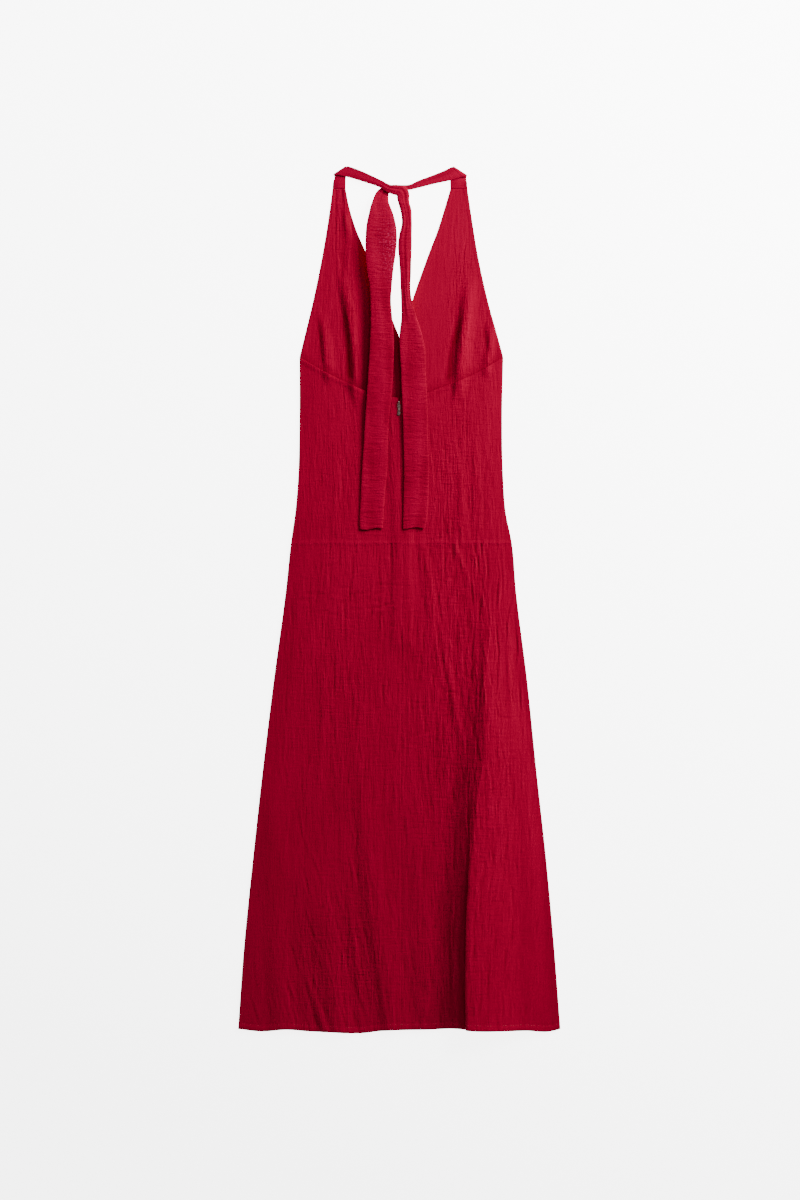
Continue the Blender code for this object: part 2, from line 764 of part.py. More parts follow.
def neck_tie(side):
    """A tie from its halter panel, over the top fold and through the knot, to its free end."""
    from_left = side == "left"
    inner = inward(side)
    seam = TIE_SEAM + SEAM_HALF
    corner = LEFT_CORNER if from_left else RIGHT_CORNER
    outer = follow(ARMHOLES, side, seam)
    near = follow(NECK_V, side, seam)
    mid = TIE_THICK / 2
    stations = [
        Station((outer, seam, mid), (near, seam, mid), TIE_THICK, 0.0),
        Station((outer + inner * 0.6, seam + 9, mid), (near + inner * 0.3, seam + 16, mid),
                TIE_THICK, 0.0),
    ]
    stations += corner_wrap(corner)
    stations += LEFT_STRAP if from_left else RIGHT_STRAP
    stations += knot_strand(from_left)
    stations += knot_turn(from_left)
    stations += tail_stations(RIGHT_TAIL if from_left else LEFT_TAIL, from_left)
    return ribbon("neck_tie_" + side, stations)


def prism(name, rings, thick, material):
    """A prism from closed rings of points in metres, the first the outline and the rest holes."""
    mesh = bpy.data.meshes.new(name)
    work = bmesh.new()
    edges = []
    for ring in rings:
        verts = [work.verts.new(point) for point in ring]
        edges += [work.edges.new((verts[i - 1], verts[i])) for i in range(len(verts))]
    filled = bmesh.ops.triangle_fill(work, use_beauty=True, edges=edges)
    faces = [item for item in filled["geom"] if isinstance(item, bmesh.types.BMFace)]
    raised = bmesh.ops.extrude_face_region(work, geom=faces)
    moved = [item for item in raised["geom"] if isinstance(item, bmesh.types.BMVert)]
    bmesh.ops.translate(work, verts=moved, vec=Vector(thick))
    bmesh.ops.recalc_face_normals(work, faces=work.faces)
    work.to_mesh(mesh)
    work.free()
    return add_object(name, mesh, material)


def plate(name, outline, low, high, material, hole=None):
    """A flat plate from an outline of (x, up) points, with a window if one is given."""
    rings = []
    for ring in [outline] if hole is None else [outline, hole]:
        rings.append([(x * MM, (up - LENGTH / 2) * MM, low * MM) for x, up in ring])
    return prism(name, rings, (0, 0, (high - low) * MM), material)


def zip_tape():
    """The closed zip under the back seam, notched round its slider."""
    half = ZIP_TAPE_WIDTH / 2
    notch = SLIDER_WIDE / 2 + GAP
    top = ZIP_TOP
    levels = list(np.linspace(ZIP_FOOT, top, 9))
    right = [(follow(BACK_SEAM, "x", up) + half, up) for up in levels]
    left = [(follow(BACK_SEAM, "x", up) - half, up) for up in reversed(levels)]
    low = SLIDER_LOW - GAP
    cut = [(SLIDER_X + notch, top), (SLIDER_X + notch, low), (SLIDER_X - notch, low),
           (SLIDER_X - notch, top)]
    return plate("zip_tape", right + cut + left, BACK_UNDER, BACK_UNDER + ZIP_TAPE_THICK,
                 zip_tape_cloth())


def zip_slider():
    """Slider: a body under the seam with a bridge that stands out through the slit."""
    start = SLIDER_LOW
    end = start + SLIDER_LONG
    body_top = BACK_UNDER + ZIP_TAPE_THICK
    eye_low = PIVOT_Z - EYE_ROOM
    eye_high = SLIDER_TOP - BRIDGE_BAR
    profile = [(start, BACK_UNDER), (end, BACK_UNDER), (end, SLIDER_TOP - BRIDGE_BEVEL),
               (end - BRIDGE_BEVEL, SLIDER_TOP), (start + BRIDGE_BEVEL, SLIDER_TOP),
               (start, SLIDER_TOP - BRIDGE_BEVEL)]
    eye = [(start + BRIDGE_LEG, eye_low), (end - BRIDGE_LEG, eye_low),
           (end - BRIDGE_LEG, eye_high), (start + BRIDGE_LEG, eye_high)]
    cheek = (SLIDER_X - BRIDGE_WIDE / 2) * MM
    rings = []
    for ring in (profile, eye):
        rings.append([(cheek, (up - LENGTH / 2) * MM, z * MM) for up, z in ring])
    bridge = prism("zip_slider", rings, (BRIDGE_WIDE * MM, 0, 0), zip_metal())
    half = SLIDER_WIDE / 2
    outline = [(SLIDER_X - half, start), (SLIDER_X + half, start),
               (SLIDER_X + half, end - BODY_BEVEL), (SLIDER_X + half - BODY_BEVEL, end),
               (SLIDER_X - half + BODY_BEVEL, end), (SLIDER_X - half, end - BODY_BEVEL)]
    body = plate("zip_slider_body", outline, BACK_UNDER, body_top, zip_metal())
    join = bridge.modifiers.new("join_body", "BOOLEAN")
    join.operation = "UNION"
    join.solver = "EXACT"
    join.object = body
    body.hide_render = True
    body.display_type = "WIRE"
    return bridge


def zip_pull():
    """The drop-shaped pull, hinged on the slider's bridge by the bar at its upper end."""
    eye = BRIDGE_WIDE / 2 + PULL_PLAY
    arm = eye + PULL_ARM
    bar = PULL_THICK / 2
    low = PULL_SHOULDER
    drop_up = -(PULL_TIP - PULL_DROP)
    outline = [(arm, bar), (-arm, bar), (-arm, -low - 1), (-PULL_NECK, -low - 3), (-PULL_NECK, -low - 5)]
    for angle in np.radians(np.linspace(180, 360, 11)):
        outline.append((PULL_DROP * np.cos(angle), drop_up + PULL_DROP * np.sin(angle)))
    outline += [(PULL_NECK, -low - 5), (PULL_NECK, -low - 3), (arm, -low - 1)]
    window = [(eye, -bar), (-eye, -bar), (-eye, -low), (eye, -low)]
    pull = plate("zip_pull", outline, -bar, bar, zip_metal(), hole=window)
    for vertex in pull.data.vertices:
        vertex.co.y += LENGTH / 2 * MM
    pull.location = (SLIDER_X * MM, (PIVOT_UP - LENGTH / 2) * MM, PIVOT_Z * MM)
    return pull


def build():
    for item in list(bpy.data.objects):
        bpy.data.objects.remove(item, do_unlink=True)
    skirt_front()
    for side in ("left", "right"):
        skirt_back(side)
        bodice_front(side)
        bodice_back(side)
        neck_tie(side)
    zip_tape()
    zip_slider()
    zip_pull()


build()
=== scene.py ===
# %% [markdown]
# # A long halter dress, laid flat with its back up
# The dress is thin crinkled crimson cloth. The imported model holds its plain panels, ties and zip.
# Here each panel is made again as a fine sheet with its folds and crinkles, on the same outline
# and at the same height, and the imported panel that it stands for is hidden.

# %% Load the imported frame
import math
from typing import NamedTuple

import bpy
import numpy as np
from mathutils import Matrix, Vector


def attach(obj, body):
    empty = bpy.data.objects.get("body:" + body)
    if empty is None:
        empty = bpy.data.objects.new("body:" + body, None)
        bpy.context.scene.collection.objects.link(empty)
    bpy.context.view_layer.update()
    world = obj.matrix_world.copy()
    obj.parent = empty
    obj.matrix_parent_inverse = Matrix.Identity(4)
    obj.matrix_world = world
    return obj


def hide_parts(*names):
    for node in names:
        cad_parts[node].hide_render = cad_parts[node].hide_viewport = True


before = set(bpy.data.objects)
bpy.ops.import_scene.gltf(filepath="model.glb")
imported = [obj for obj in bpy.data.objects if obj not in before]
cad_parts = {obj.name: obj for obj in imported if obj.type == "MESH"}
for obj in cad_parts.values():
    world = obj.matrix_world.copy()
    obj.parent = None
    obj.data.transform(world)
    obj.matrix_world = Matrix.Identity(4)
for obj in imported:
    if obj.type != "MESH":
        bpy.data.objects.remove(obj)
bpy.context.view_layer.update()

# %% [markdown]
# ## Floor, light and camera
# A laid garment is photographed from straight above, on a pale floor. The lamp stands to the
# upper right, low enough that every fold has a light and a dark side, and a weaker one above
# the neck fills the shadows. The view is 1.944 m high, which gives 1.62 mm to a pixel.

# %% Camera straight above
VIEW_HIGH = 1.944
CAMERA_PLACE = (0.0012, -0.0005, 4.0)
FILM_LONG = 36.0


def put(name, data):
    """A new object in the scene."""
    thing = bpy.data.objects.new(name, data)
    bpy.context.scene.collection.objects.link(thing)
    return thing


camera_data = bpy.data.cameras.new("camera")
camera_data.sensor_width = FILM_LONG
camera_data.lens = FILM_LONG * CAMERA_PLACE[2] / VIEW_HIGH
camera = put("camera", camera_data)
camera.location = CAMERA_PLACE
bpy.context.scene.camera = camera
print("lens, mm:", round(camera_data.lens, 1))


# %% Lamps and sky
def soft_lamp(name, place, size, power):
    """A square lamp that faces the middle of the dress."""
    data = bpy.data.lights.new(name, "AREA")
    data.shape = "SQUARE"
    data.size = size
    data.energy = power
    lamp = put(name, data)
    lamp.location = place
    lamp.rotation_mode = "QUATERNION"
    lamp.rotation_quaternion = (-Vector(place)).to_track_quat("-Z", "Y")


soft_lamp("side_lamp", (1.9, 1.65, 1.05), 1.2, 196.0)
soft_lamp("top_lamp", (0.7, 1.4, 2.4), 1.2, 19.0)

sky = bpy.data.worlds.new("soft_sky")
sky.use_nodes = True
sky_inputs = sky.node_tree.nodes["Background"].inputs
sky_inputs["Color"].default_value = (0.93, 0.94, 0.96, 1.0)
sky_inputs["Strength"].default_value = 0.17
bpy.context.scene.world = sky

# %% [markdown]
# ## Reading lines and tables
# Edges, seams and folds are short tables of measured points in millimetres. `x` runs to the
# right, `up` runs from the hem to the neck, and a smooth curve through the rows gives every
# place between them.

# %% Helpers for curves
MM = 0.001
LENGTH = 1404.0


def through(places, values, at):
    """Values on a smooth curve through the given places."""
    places = np.asarray(places, dtype=float)
    values = np.asarray(values, dtype=float)
    slopes = np.gradient(values, places, axis=0)
    at = np.clip(np.asarray(at, dtype=float), places[0], places[-1])
    k = np.clip(np.searchsorted(places, at) - 1, 0, len(places) - 2)
    span = places[k + 1] - places[k]
    t = (at - places[k]) / span
    if values.ndim > 1:
        span = span[:, None]
        t = t[:, None]
    start = (1 + 2 * t) * (1 - t) ** 2
    end = t * t * (3 - 2 * t)
    bend_in = t * (1 - t) ** 2 * span
    bend_out = t * t * (t - 1) * span
    return (start * values[k] + end * values[k + 1]
            + bend_in * slopes[k] + bend_out * slopes[k + 1])


def follow(rows, column, at, along="up"):
    """One column of a table, read on a smooth curve through its rows."""
    return through([getattr(row, along) for row in rows],
                   [getattr(row, column) for row in rows], at)


def ease(t):
    """Rise smoothly from 0 to 1."""
    t = np.clip(t, 0.0, 1.0)
    return t * t * (3 - 2 * t)


def bell(distance, reach):
    """A soft bump, 1 at its middle."""
    return np.exp(-(distance / reach) ** 2)


# %% Outline of the laid dress
class Side(NamedTuple):
    up: float
    left: float
    right: float


class Level(NamedTuple):
    x: float
    up: float


HIP_SEAM = 793.0
UNDERARM = 1095.0
TIE_SEAM = 1367.4
FRONT_HEM = 12.0
SIDES = [Side(0, -261, 261), Side(134, -251.5, 251), Side(280, -237, 238),
         Side(426, -221, 222), Side(572, -203, 207), Side(718, -183.5, 189),
         Side(793, -175.5, 182.5), Side(847, -168, 172), Side(896, -164, 168.5),
         Side(993, -161.5, 166.5), Side(1095, -161.5, 168.5)]
ARMHOLES = [Side(1095, -161.5, 168.5), Side(1132, -152.5, 158.5), Side(1171, -143, 147.5),
            Side(1249, -126.5, 129.5), Side(1327, -113.5, 116.5), Side(1368, -108, 110.5)]
NECK_V = [Side(1128, 0, 0), Side(1153, -10, 9.5), Side(1210, -33, 29),
          Side(1268, -55.5, 50), Side(1298, -68.5, 61.5), Side(1336, -80.5, 73.5),
          Side(1368, -87, 83)]
NECKLINE = [Level(-162, 1095), Level(-128, 1075), Level(-80, 1051), Level(-55, 1040),
            Level(-30, 1033), Level(0, 1029), Level(34, 1034), Level(66, 1045),
            Level(115, 1064), Level(169, 1095)]
BACK_HEM = [Level(-261, 7), Level(-222, 3), Level(-184, 6), Level(-145, 3), Level(-106, 1.5),
            Level(-64, 0), Level(-28, 4), Level(50, 6), Level(105, 8), Level(113, 7),
            Level(166, 5), Level(205, 5), Level(244, 3), Level(261, 7)]
BACK_SEAM = [Level(3.5, 0), Level(4, 620), Level(5.5, 793), Level(-0.4, 1000),
             Level(-0.4, 1030)]


# %% [markdown]
# ## The large folds
# A flared skirt that is laid flat keeps more cloth than its outline shows, and the spare cloth
# stands up in folds. One large fold runs up from the hem at the right, with a lip that hangs
# over its dark left side: `wall` is the width of the steep side under the lip, `slope` that of
# the long rise before it, and `share` the part of the height that the slope takes. The others
# are low and soft, so a sum of soft ridges makes them. Below zero they are creases.

# %% Folds of the skirt, the back and the halter panels
class Crest(NamedTuple):
    up: float
    x: float
    rise: float
    wall: float
    slope: float
    share: float
    gentle: float
    lip: float


class Fold(NamedTuple):
    head_x: float
    head_up: float
    foot_x: float
    foot_up: float
    bow: float
    head: float
    middle: float
    foot: float
    left: float
    right: float


GREAT_FOLD = [
    Crest(0, 111.5, 21, 4.5, 57, 0.64, 92, 3.4),
    Crest(70, 110, 20.4, 4.5, 57, 0.64, 90, 3.4),
    Crest(143, 110.5, 19.4, 5, 55, 0.65, 86, 3.2),
    Crest(190, 111.5, 18.2, 5.5, 54, 0.68, 84, 2.8),
    Crest(248, 114.5, 16.8, 7.5, 52, 0.74, 80, 2),
    Crest(313, 120.5, 14.2, 14, 50, 0.86, 76, 0.8),
    Crest(377, 126.5, 12.4, 20, 50, 0.96, 70, 0),
    Crest(442, 137, 10.8, 26, 56, 1, 56, 0),
    Crest(507, 143.5, 8.8, 30, 56, 1, 44, 0),
    Crest(572, 145.5, 5.4, 30, 50, 1, 34, 0),
    Crest(640, 145, 2.8, 28, 32, 1, 30, 0),
    Crest(700, 144, 0.9, 26, 28, 1, 30, 0),
    Crest(793, 143, 0, 26, 28, 1, 30, 0)]
BACK_FOLDS = [
    Fold(-74, 560, -14, 0, -8, 0, 1.4, 2.6, 20, 46),
    Fold(-150, 300, -98, 0, 4, 0, 1.2, 3.2, 34, 34),
    Fold(-205, 420, -190, 0, -5, 0, 0.9, 1.6, 26, 30),
    Fold(138, 730, 128, 430, 3, 0, 0.9, 0, 11, 14),
    Fold(66, 690, 112, 400, -3, 0, 0.8, 0, 10, 14),
    Fold(36, 790, 62, 560, 2, 0.7, 0.9, 0, 9, 12),
    Fold(196, 560, 214, 60, 3, 0, 0.8, 0.9, 22, 26),
    Fold(24, 420, 40, 40, 2, 0, 0.7, 0.9, 22, 26),
    Fold(92, 960, 100, 800, 3, 0, 1, 0.7, 9, 12),
    Fold(124, 1010, 130, 820, -3, 0, 0.8, 0.6, 11, 12),
    Fold(-110, 1010, -104, 810, 2, 0, 0.6, 0.4, 14, 16),
]
FRONT_FOLDS = [
    Fold(-96, 1262, -72, 1030, 2, 0, 4.6, 3.2, 12, 24),
    Fold(-137, 1185, -116, 1060, 4, 0, 2.2, 1.8, 9, 18),
    Fold(118, 1250, 94, 1030, -3, 0, 4.8, 3.4, 13, 22),
    Fold(150, 1160, 140, 1070, 0, 0, 2.4, 1.8, 9, 12),
    Fold(-92, 1352, -78, 1270, 0, 0, 1.4, 0, 8, 9),
]
BUST_CREASES = [
    Fold(-98, 1224, -80, 1046, 4, 0, -2.8, -3, 9, 10),
    Fold(-89, 1200, -71, 1110, 2, 0, -1.1, 0, 4, 6),
    Fold(-133, 1170, -127, 1090, 1, 0, -1.9, -1.2, 5, 8),
    Fold(108, 1188, 80, 1048, -5, 0, -2.8, -3, 10, 9),
    Fold(137, 1154, 144, 1094, 0, 0, -1.5, -0.9, 5, 7),
    Fold(-97, 1345, -93, 1190, 1, 0, -1, 0, 6, 7),
]
FINE_FOLDS = [
    Fold(128, 706, 116, 520, 0, 0, 0.9, 0.3, 5, 8),
    Fold(138, 660, 143, 420, -3, 0, 0.7, 0.3, 6, 8),
    Fold(-154, 110, -121, 4, 0, 0, 1.2, 1.6, 9, 11),
    Fold(58, 674, 102, 452, 3, 0, 0.5, 0.2, 4, 7),
    Fold(66, 864, 126, 700, -4, 0, 0.9, 0, 5, 8),
    Fold(42, 788, 62, 634, 0, 0.3, 0.8, 0, 4, 7),
    Fold(-88, 240, -62, 24, 3, 0, 0.9, 0.6, 5, 8),
    Fold(84, 300, 90, 20, -2, 0, 0.9, 1.2, 6, 10),
    Fold(-120, 640, -138, 330, 4, 0, 0.6, 0, 9, 14),
    Fold(176, 700, 184, 470, -3, 0, 0.8, 0, 6, 10),
]


def soft_folds(folds, x, up):
    """Height that soft folds add at a place on the cloth."""
    height = np.zeros(np.broadcast(x, up).shape)
    for fold in folds:
        along = (fold.head_up - up) / (fold.head_up - fold.foot_up)
        t = np.clip(along, 0, 1)
        crest = fold.head_x + (fold.foot_x - fold.head_x) * t + fold.bow * np.sin(np.pi * t)
        rise = fold.head + (fold.middle - fold.head) * ease(2 * t)
        rise = rise + (fold.foot - fold.middle) * ease(2 * t - 1)
        width = np.where(x < crest, fold.left, fold.right)
        beside = np.minimum(1, np.abs(x - crest) / width)
        past_end = np.clip((np.abs(along - 0.5) - 0.5) * 10, 0, 1)
        height += rise * 0.5 * (1 + np.cos(np.pi * beside)) * (1 - past_end)
    return height


def great_fold(x, up):
    """Height of the large fold: a long slope and a short wall on its left, gentle on its right."""
    crest = follow(GREAT_FOLD, "x", up)
    rise = np.maximum(0, follow(GREAT_FOLD, "rise", up))
    share = np.clip(follow(GREAT_FOLD, "share", up), 0, 1)
    t = np.clip(1 + (x - crest) / follow(GREAT_FOLD, "slope", up), 0, 1)
    wall = ease(1 + (x - crest) / follow(GREAT_FOLD, "wall", up))
    left = share * (4 * t ** 2 - t ** 8) / 3 + (1 - share) * wall
    reach = np.minimum(follow(GREAT_FOLD, "gentle", up) * 1.5, follow(SIDES, "right", up) - crest)
    beside = np.clip((x - crest) / reach, 0, 1)
    right = 0.5 * (0.5 * (1 + np.cos(np.pi * beside)) + (1 - beside) ** 1.2)
    return rise * np.where(x < crest, left, right)


def lip_shift(x, up):
    """How far the steep side leans: out under the lip, and in below it."""
    wall = follow(GREAT_FOLD, "wall", up)
    t = np.clip(1 + (x - follow(GREAT_FOLD, "x", up)) / wall, 0, 1)
    return np.maximum(0, follow(GREAT_FOLD, "lip", up)) * np.sin(2 * np.pi * t) * np.sin(np.pi * t)


# %% Levels of the layers
WALL = 1.2
BACK_UNDER = 1.5
ZIP_LIFT = 1.3
AIR_UNDER_BACK = 0.9
FOLD_FADE = 45.0
ZIP_HALF = 9.8
ZIP_SLOPE = 12.2
ZIP_RIDGE_FOOT = 610


def above_neckline(x, up):
    return up - follow(NECKLINE, "up", x, along="x")


def back_plain(x, up):
    """Upper face of the back without its crinkles."""
    beside = np.abs(x - follow(BACK_SEAM, "x", up)) - ZIP_HALF
    zip_ridge = ZIP_LIFT * (1 - ease(beside / ZIP_SLOPE)) * ease((up - ZIP_RIDGE_FOOT) / 26)
    near = ease((above_neckline(x, up) + FOLD_FADE) / FOLD_FADE)
    to_side = np.minimum(x - follow(SIDES, "left", up), follow(SIDES, "right", up) - x)
    air = AIR_UNDER_BACK * ease(to_side / 30)
    return (BACK_UNDER + WALL + zip_ridge + soft_folds(FRONT_FOLDS, x, up) * near + air
            + great_fold(x, up) + soft_folds(BACK_FOLDS, x, up))


def front_plain(x, up):
    """Upper face of the front: full folds where it is bare, half under the back."""
    above = above_neckline(x, up)
    covered = ease((above + FOLD_FADE) / FOLD_FADE)
    bare = ease(above / 16)
    return WALL + soft_folds(FRONT_FOLDS, x, up) * (0.5 * covered + 0.5 * bare)


# %% [markdown]
# ## The crinkle
# The cloth was set in fine creases that run up and down, broken and uneven. Each crease is a
# short groove with a low ridge beside it, pressed into one height map of the whole dress. More
# of them are pressed where the dress is more creased, from seeded random numbers, so every run
# gives the same cloth.

# %% Press the creases into a height map
FIELD_LEFT = -280
FIELD_LOW = -20
FIELD_SHAPE = (1460, 560)


class Zone(NamedTuple):
    x: float
    up: float
    wide: float
    tall: float
    creases: int
    lean: float
    depth: float


CREASE_ZONES = [
    Zone(0, 560, 190, 400, 620, 0, 0.28),
    Zone(95, 650, 42, 170, 420, -0.02, 0.62),
    Zone(110, 330, 60, 150, 200, 0.02, 0.5),
    Zone(-136, 95, 38, 80, 170, -0.26, 0.5),
    Zone(-62, 130, 24, 90, 110, -0.2, 0.46),
    Zone(60, 90, 70, 70, 130, 0.03, 0.4),
    Zone(-90, 560, 60, 160, 200, 0.02, 0.42),
    Zone(70, 920, 60, 80, 160, -0.05, 0.4),
    Zone(-90, 900, 50, 80, 110, 0.04, 0.36),
    Zone(-80, 1150, 12, 70, 46, -0.1, 0.7),
    Zone(-122, 1110, 10, 45, 22, -0.1, 0.6),
    Zone(100, 1150, 13, 80, 46, 0.1, 0.6),
    Zone(140, 1110, 9, 40, 18, 0.1, 0.5),
    Zone(-97, 1310, 8, 50, 16, 0, 0.4),
]
PUCKER_ZONES = [
    Zone(-55, 700, 50, 18, 46, 0, 0.4),
    Zone(20, 560, 150, 260, 170, 0, 0.22),
    Zone(90, 480, 50, 90, 60, 0, 0.3),
]


def press_crease(field, low, across_low, place, long, lean, wide, depth, side, wander):
    """Press one groove and its ridge into the part of the map that they cover."""
    middle, at = place
    rows = np.arange(int(at - long / 2 - low), int(at + long / 2 - low) + 1)
    reach = abs(lean) * long / 2 + 4 * wide + 3
    columns = np.arange(int(middle - reach - across_low), int(middle + reach - across_low) + 1)
    rows = rows[(rows >= 0) & (rows < field.shape[0])]
    columns = columns[(columns >= 0) & (columns < field.shape[1])]
    if len(rows) == 0 or len(columns) == 0:
        return
    offset = rows + low - at
    path = middle + lean * offset + wander * np.sin(offset * 0.09 + at)
    t = side * (columns[None, :] + across_low - path[:, None]) / wide
    taper = np.clip(1 - (2 * offset / long) ** 2, 0, 1)[:, None]
    profile = 0.6 * bell(t - 1.9, 1.3) - bell(t, 1.0)
    field[rows[0]:rows[-1] + 1, columns[0]:columns[-1] + 1] += depth * taper * profile


def streaks(rng, across, along):
    """Even noise, stretched up the cloth."""
    spectrum = np.fft.rfft2(rng.standard_normal(FIELD_SHAPE))
    rows = np.fft.fftfreq(FIELD_SHAPE[0])[:, None] * along
    columns = np.fft.rfftfreq(FIELD_SHAPE[1])[None, :] * across
    waves = np.fft.irfft2(spectrum * np.exp(-19.7 * (rows ** 2 + columns ** 2)), s=FIELD_SHAPE)
    return waves / waves.std()


def crinkle_map():
    rng = np.random.default_rng(7)
    field = 0.035 * streaks(rng, 2.0, 7.0) + 0.065 * streaks(rng, 7.0, 34.0)
    for zone in CREASE_ZONES:
        for _ in range(zone.creases):
            place = (rng.normal(zone.x, zone.wide), rng.normal(zone.up, zone.tall))
            press_crease(field, FIELD_LOW, FIELD_LEFT, place, rng.uniform(16, 80),
                         zone.lean + rng.normal(0, 0.06), rng.uniform(0.9, 1.7),
                         zone.depth * rng.uniform(0.3, 1.1), rng.choice([-1, 1]),
                         rng.uniform(0, 1.6))
    turned = field.T
    for zone in PUCKER_ZONES:
        for _ in range(zone.creases):
            place = (rng.normal(zone.up, zone.tall), rng.normal(zone.x, zone.wide))
            press_crease(turned, FIELD_LEFT, FIELD_LOW, place, rng.uniform(10, 40),
                         rng.normal(0, 0.2), rng.uniform(1.3, 2.2),
                         zone.depth * rng.uniform(0.4, 1.0), rng.choice([-1, 1]),
                         rng.uniform(0, 1.2))
    return np.clip(field, -1.3, 1.3)


CRINKLES = crinkle_map()
print("crinkle depth, mm:", round(float(CRINKLES.min()), 2), "to", round(float(CRINKLES.max()), 2))


def crinkle(x, up):
    """Height of the crinkles at a place, read between the points of the map."""
    column = np.clip(x - FIELD_LEFT, 0, FIELD_SHAPE[1] - 1.001)
    row = np.clip(up - FIELD_LOW, 0, FIELD_SHAPE[0] - 1.001)
    j = column.astype(int)
    i = row.astype(int)
    s = column - j
    t = row - i
    low = CRINKLES[i, j] * (1 - s) + CRINKLES[i, j + 1] * s
    high = CRINKLES[i + 1, j] * (1 - s) + CRINKLES[i + 1, j + 1] * s
    return low * (1 - t) + high * t


# %% [markdown]
# ## Cloth and metal finishes
# The cloth is a matt crepe: a fine pebbled weave and crinkles, with painted shade darkening its
# creases and a painted highlight lightening its ridges. Weave, crinkle and mottling are shared
# node groups that only put out heights and masks, so the tape and the thread can use them too.

# %% Node helpers
VECTOR = "NodeSocketVector"
FLOAT = "NodeSocketFloat"


def new_group(name, inputs, outputs):
    """An empty shader group with named sockets, its input sockets and its output node."""
    group = bpy.data.node_groups.new(name, "ShaderNodeTree")
    for way, sockets in (("INPUT", inputs), ("OUTPUT", outputs)):
        for label, kind in sockets.items():
            group.interface.new_socket(label, in_out=way, socket_type=kind)
    return group, group.nodes.new("NodeGroupInput").outputs, group.nodes.new("NodeGroupOutput")


def feed(tree, node, values):
    """Set a node's sockets to values, or link them from other sockets."""
    for key, value in values.items():
        if isinstance(value, bpy.types.NodeSocket):
            tree.links.new(value, node.inputs[key])
        else:
            node.inputs[key].default_value = value


def add(tree, kind, values=None, **settings):
    """A node with its settings and its sockets."""
    node = tree.nodes.new(kind)
    for key, value in settings.items():
        setattr(node, key, value)
    feed(tree, node, values or {})
    return node


def math_node(tree, operation, first, second, clamp=False):
    return add(tree, "ShaderNodeMath", {0: first, 1: second}, operation=operation,
               use_clamp=clamp).outputs[0]


def mix_colour(tree, factor, first, second):
    return add(tree, "ShaderNodeMix", {0: factor, 6: first, 7: second},
               data_type="RGBA").outputs[2]


def remap(tree, value, low, high, start=0.0, end=1.0):
    """A value brought from one range to another."""
    return add(tree, "ShaderNodeMapRange", {"Value": value, "From Min": low, "From Max": high,
                                            "To Min": start, "To Max": end}).outputs["Result"]


def noise(tree, place, scale, **values):
    values = {"Vector": place, "Scale": scale, **values}
    return add(tree, "ShaderNodeTexNoise", values).outputs["Fac"]


def scaled(tree, place, factor):
    return add(tree, "ShaderNodeVectorMath", {0: place, "Scale": factor},
               operation="SCALE").outputs[0]


# %% Shared groups: weave, crinkle and mottling
def weave_group():
    """Pebbled crepe: two crossed rows of threads, shaken by noise."""
    group, start, end = new_group("weave", {"Place": VECTOR, "Threads": FLOAT, "Shake": FLOAT},
                                  {"Height": FLOAT})
    place = scaled(group, start["Place"], start["Threads"])
    rows = [add(group, "ShaderNodeTexWave",
                {"Vector": place, "Scale": 0.32, "Distortion": start["Shake"], "Detail": 1.0,
                 "Detail Scale": 1.5}, bands_direction=way).outputs["Fac"] for way in ("X", "Y")]
    crossed = math_node(group, "MULTIPLY", math_node(group, "MAXIMUM", *rows), 0.6)
    pebbles = math_node(group, "MULTIPLY", noise(group, place, 0.9, Detail=2.0), 0.8)
    feed(group, end, {"Height": math_node(group, "ADD", crossed, pebbles)})
    return group


def crinkle_group():
    """Fine creases, long up the cloth and narrow across it."""
    group, start, end = new_group("fine_crinkle",
                                  {"Place": VECTOR, "Across": FLOAT, "Along": FLOAT},
                                  {"Groove": FLOAT, "Ridge": FLOAT})
    stretch = add(group, "ShaderNodeCombineXYZ",
                  {"X": start["Across"], "Y": start["Along"], "Z": 1.0})
    place = add(group, "ShaderNodeVectorMath", {0: start["Place"], 1: stretch.outputs[0]},
                operation="MULTIPLY")
    waves = noise(group, place.outputs[0], 1.0, Detail=2.0, Roughness=0.55, Distortion=0.5)
    feed(group, end, {"Groove": remap(group, waves, 0.44, 0.33),
                      "Ridge": remap(group, waves, 0.54, 0.68)})
    return group


def mottle_group():
    """Slow changes of tone over the cloth."""
    group, start, end = new_group("mottle", {"Place": VECTOR, "Patches": FLOAT}, {"Tone": FLOAT})
    place = scaled(group, start["Place"], start["Patches"])
    feed(group, end, {"Tone": noise(group, place, 1.0, Detail=4.0, Roughness=0.55)})
    return group


WEAVE = weave_group()
FINE_CRINKLE = crinkle_group()
MOTTLE = mottle_group()
print("shader groups:", WEAVE.name, FINE_CRINKLE.name, MOTTLE.name)


# %% Parts of a material
MARKS = ("painted_shading", "shine", "creased")
CRINKLE_LINES = ((300.0, 32.0, 1.0), (140.0, 15.0, 0.7), (42.0, 300.0, 0.55))
TIE_LINES = ((300.0, 40.0, 0.4), (42.0, 300.0, 1.3), (60.0, 170.0, 0.8))


def new_material(name):
    """A material with its tree and its shader."""
    material = bpy.data.materials.new(name)
    material.use_nodes = True
    return material, material.node_tree, material.node_tree.nodes["Principled BSDF"]


def placed(tree, group, **values):
    """The outputs of a shared group that is placed in a material."""
    return add(tree, "ShaderNodeGroup", values, node_tree=group).outputs


def bump(tree, height, strength, distance):
    values = {"Strength": strength, "Distance": distance, "Height": height}
    return add(tree, "ShaderNodeBump", values).outputs["Normal"]


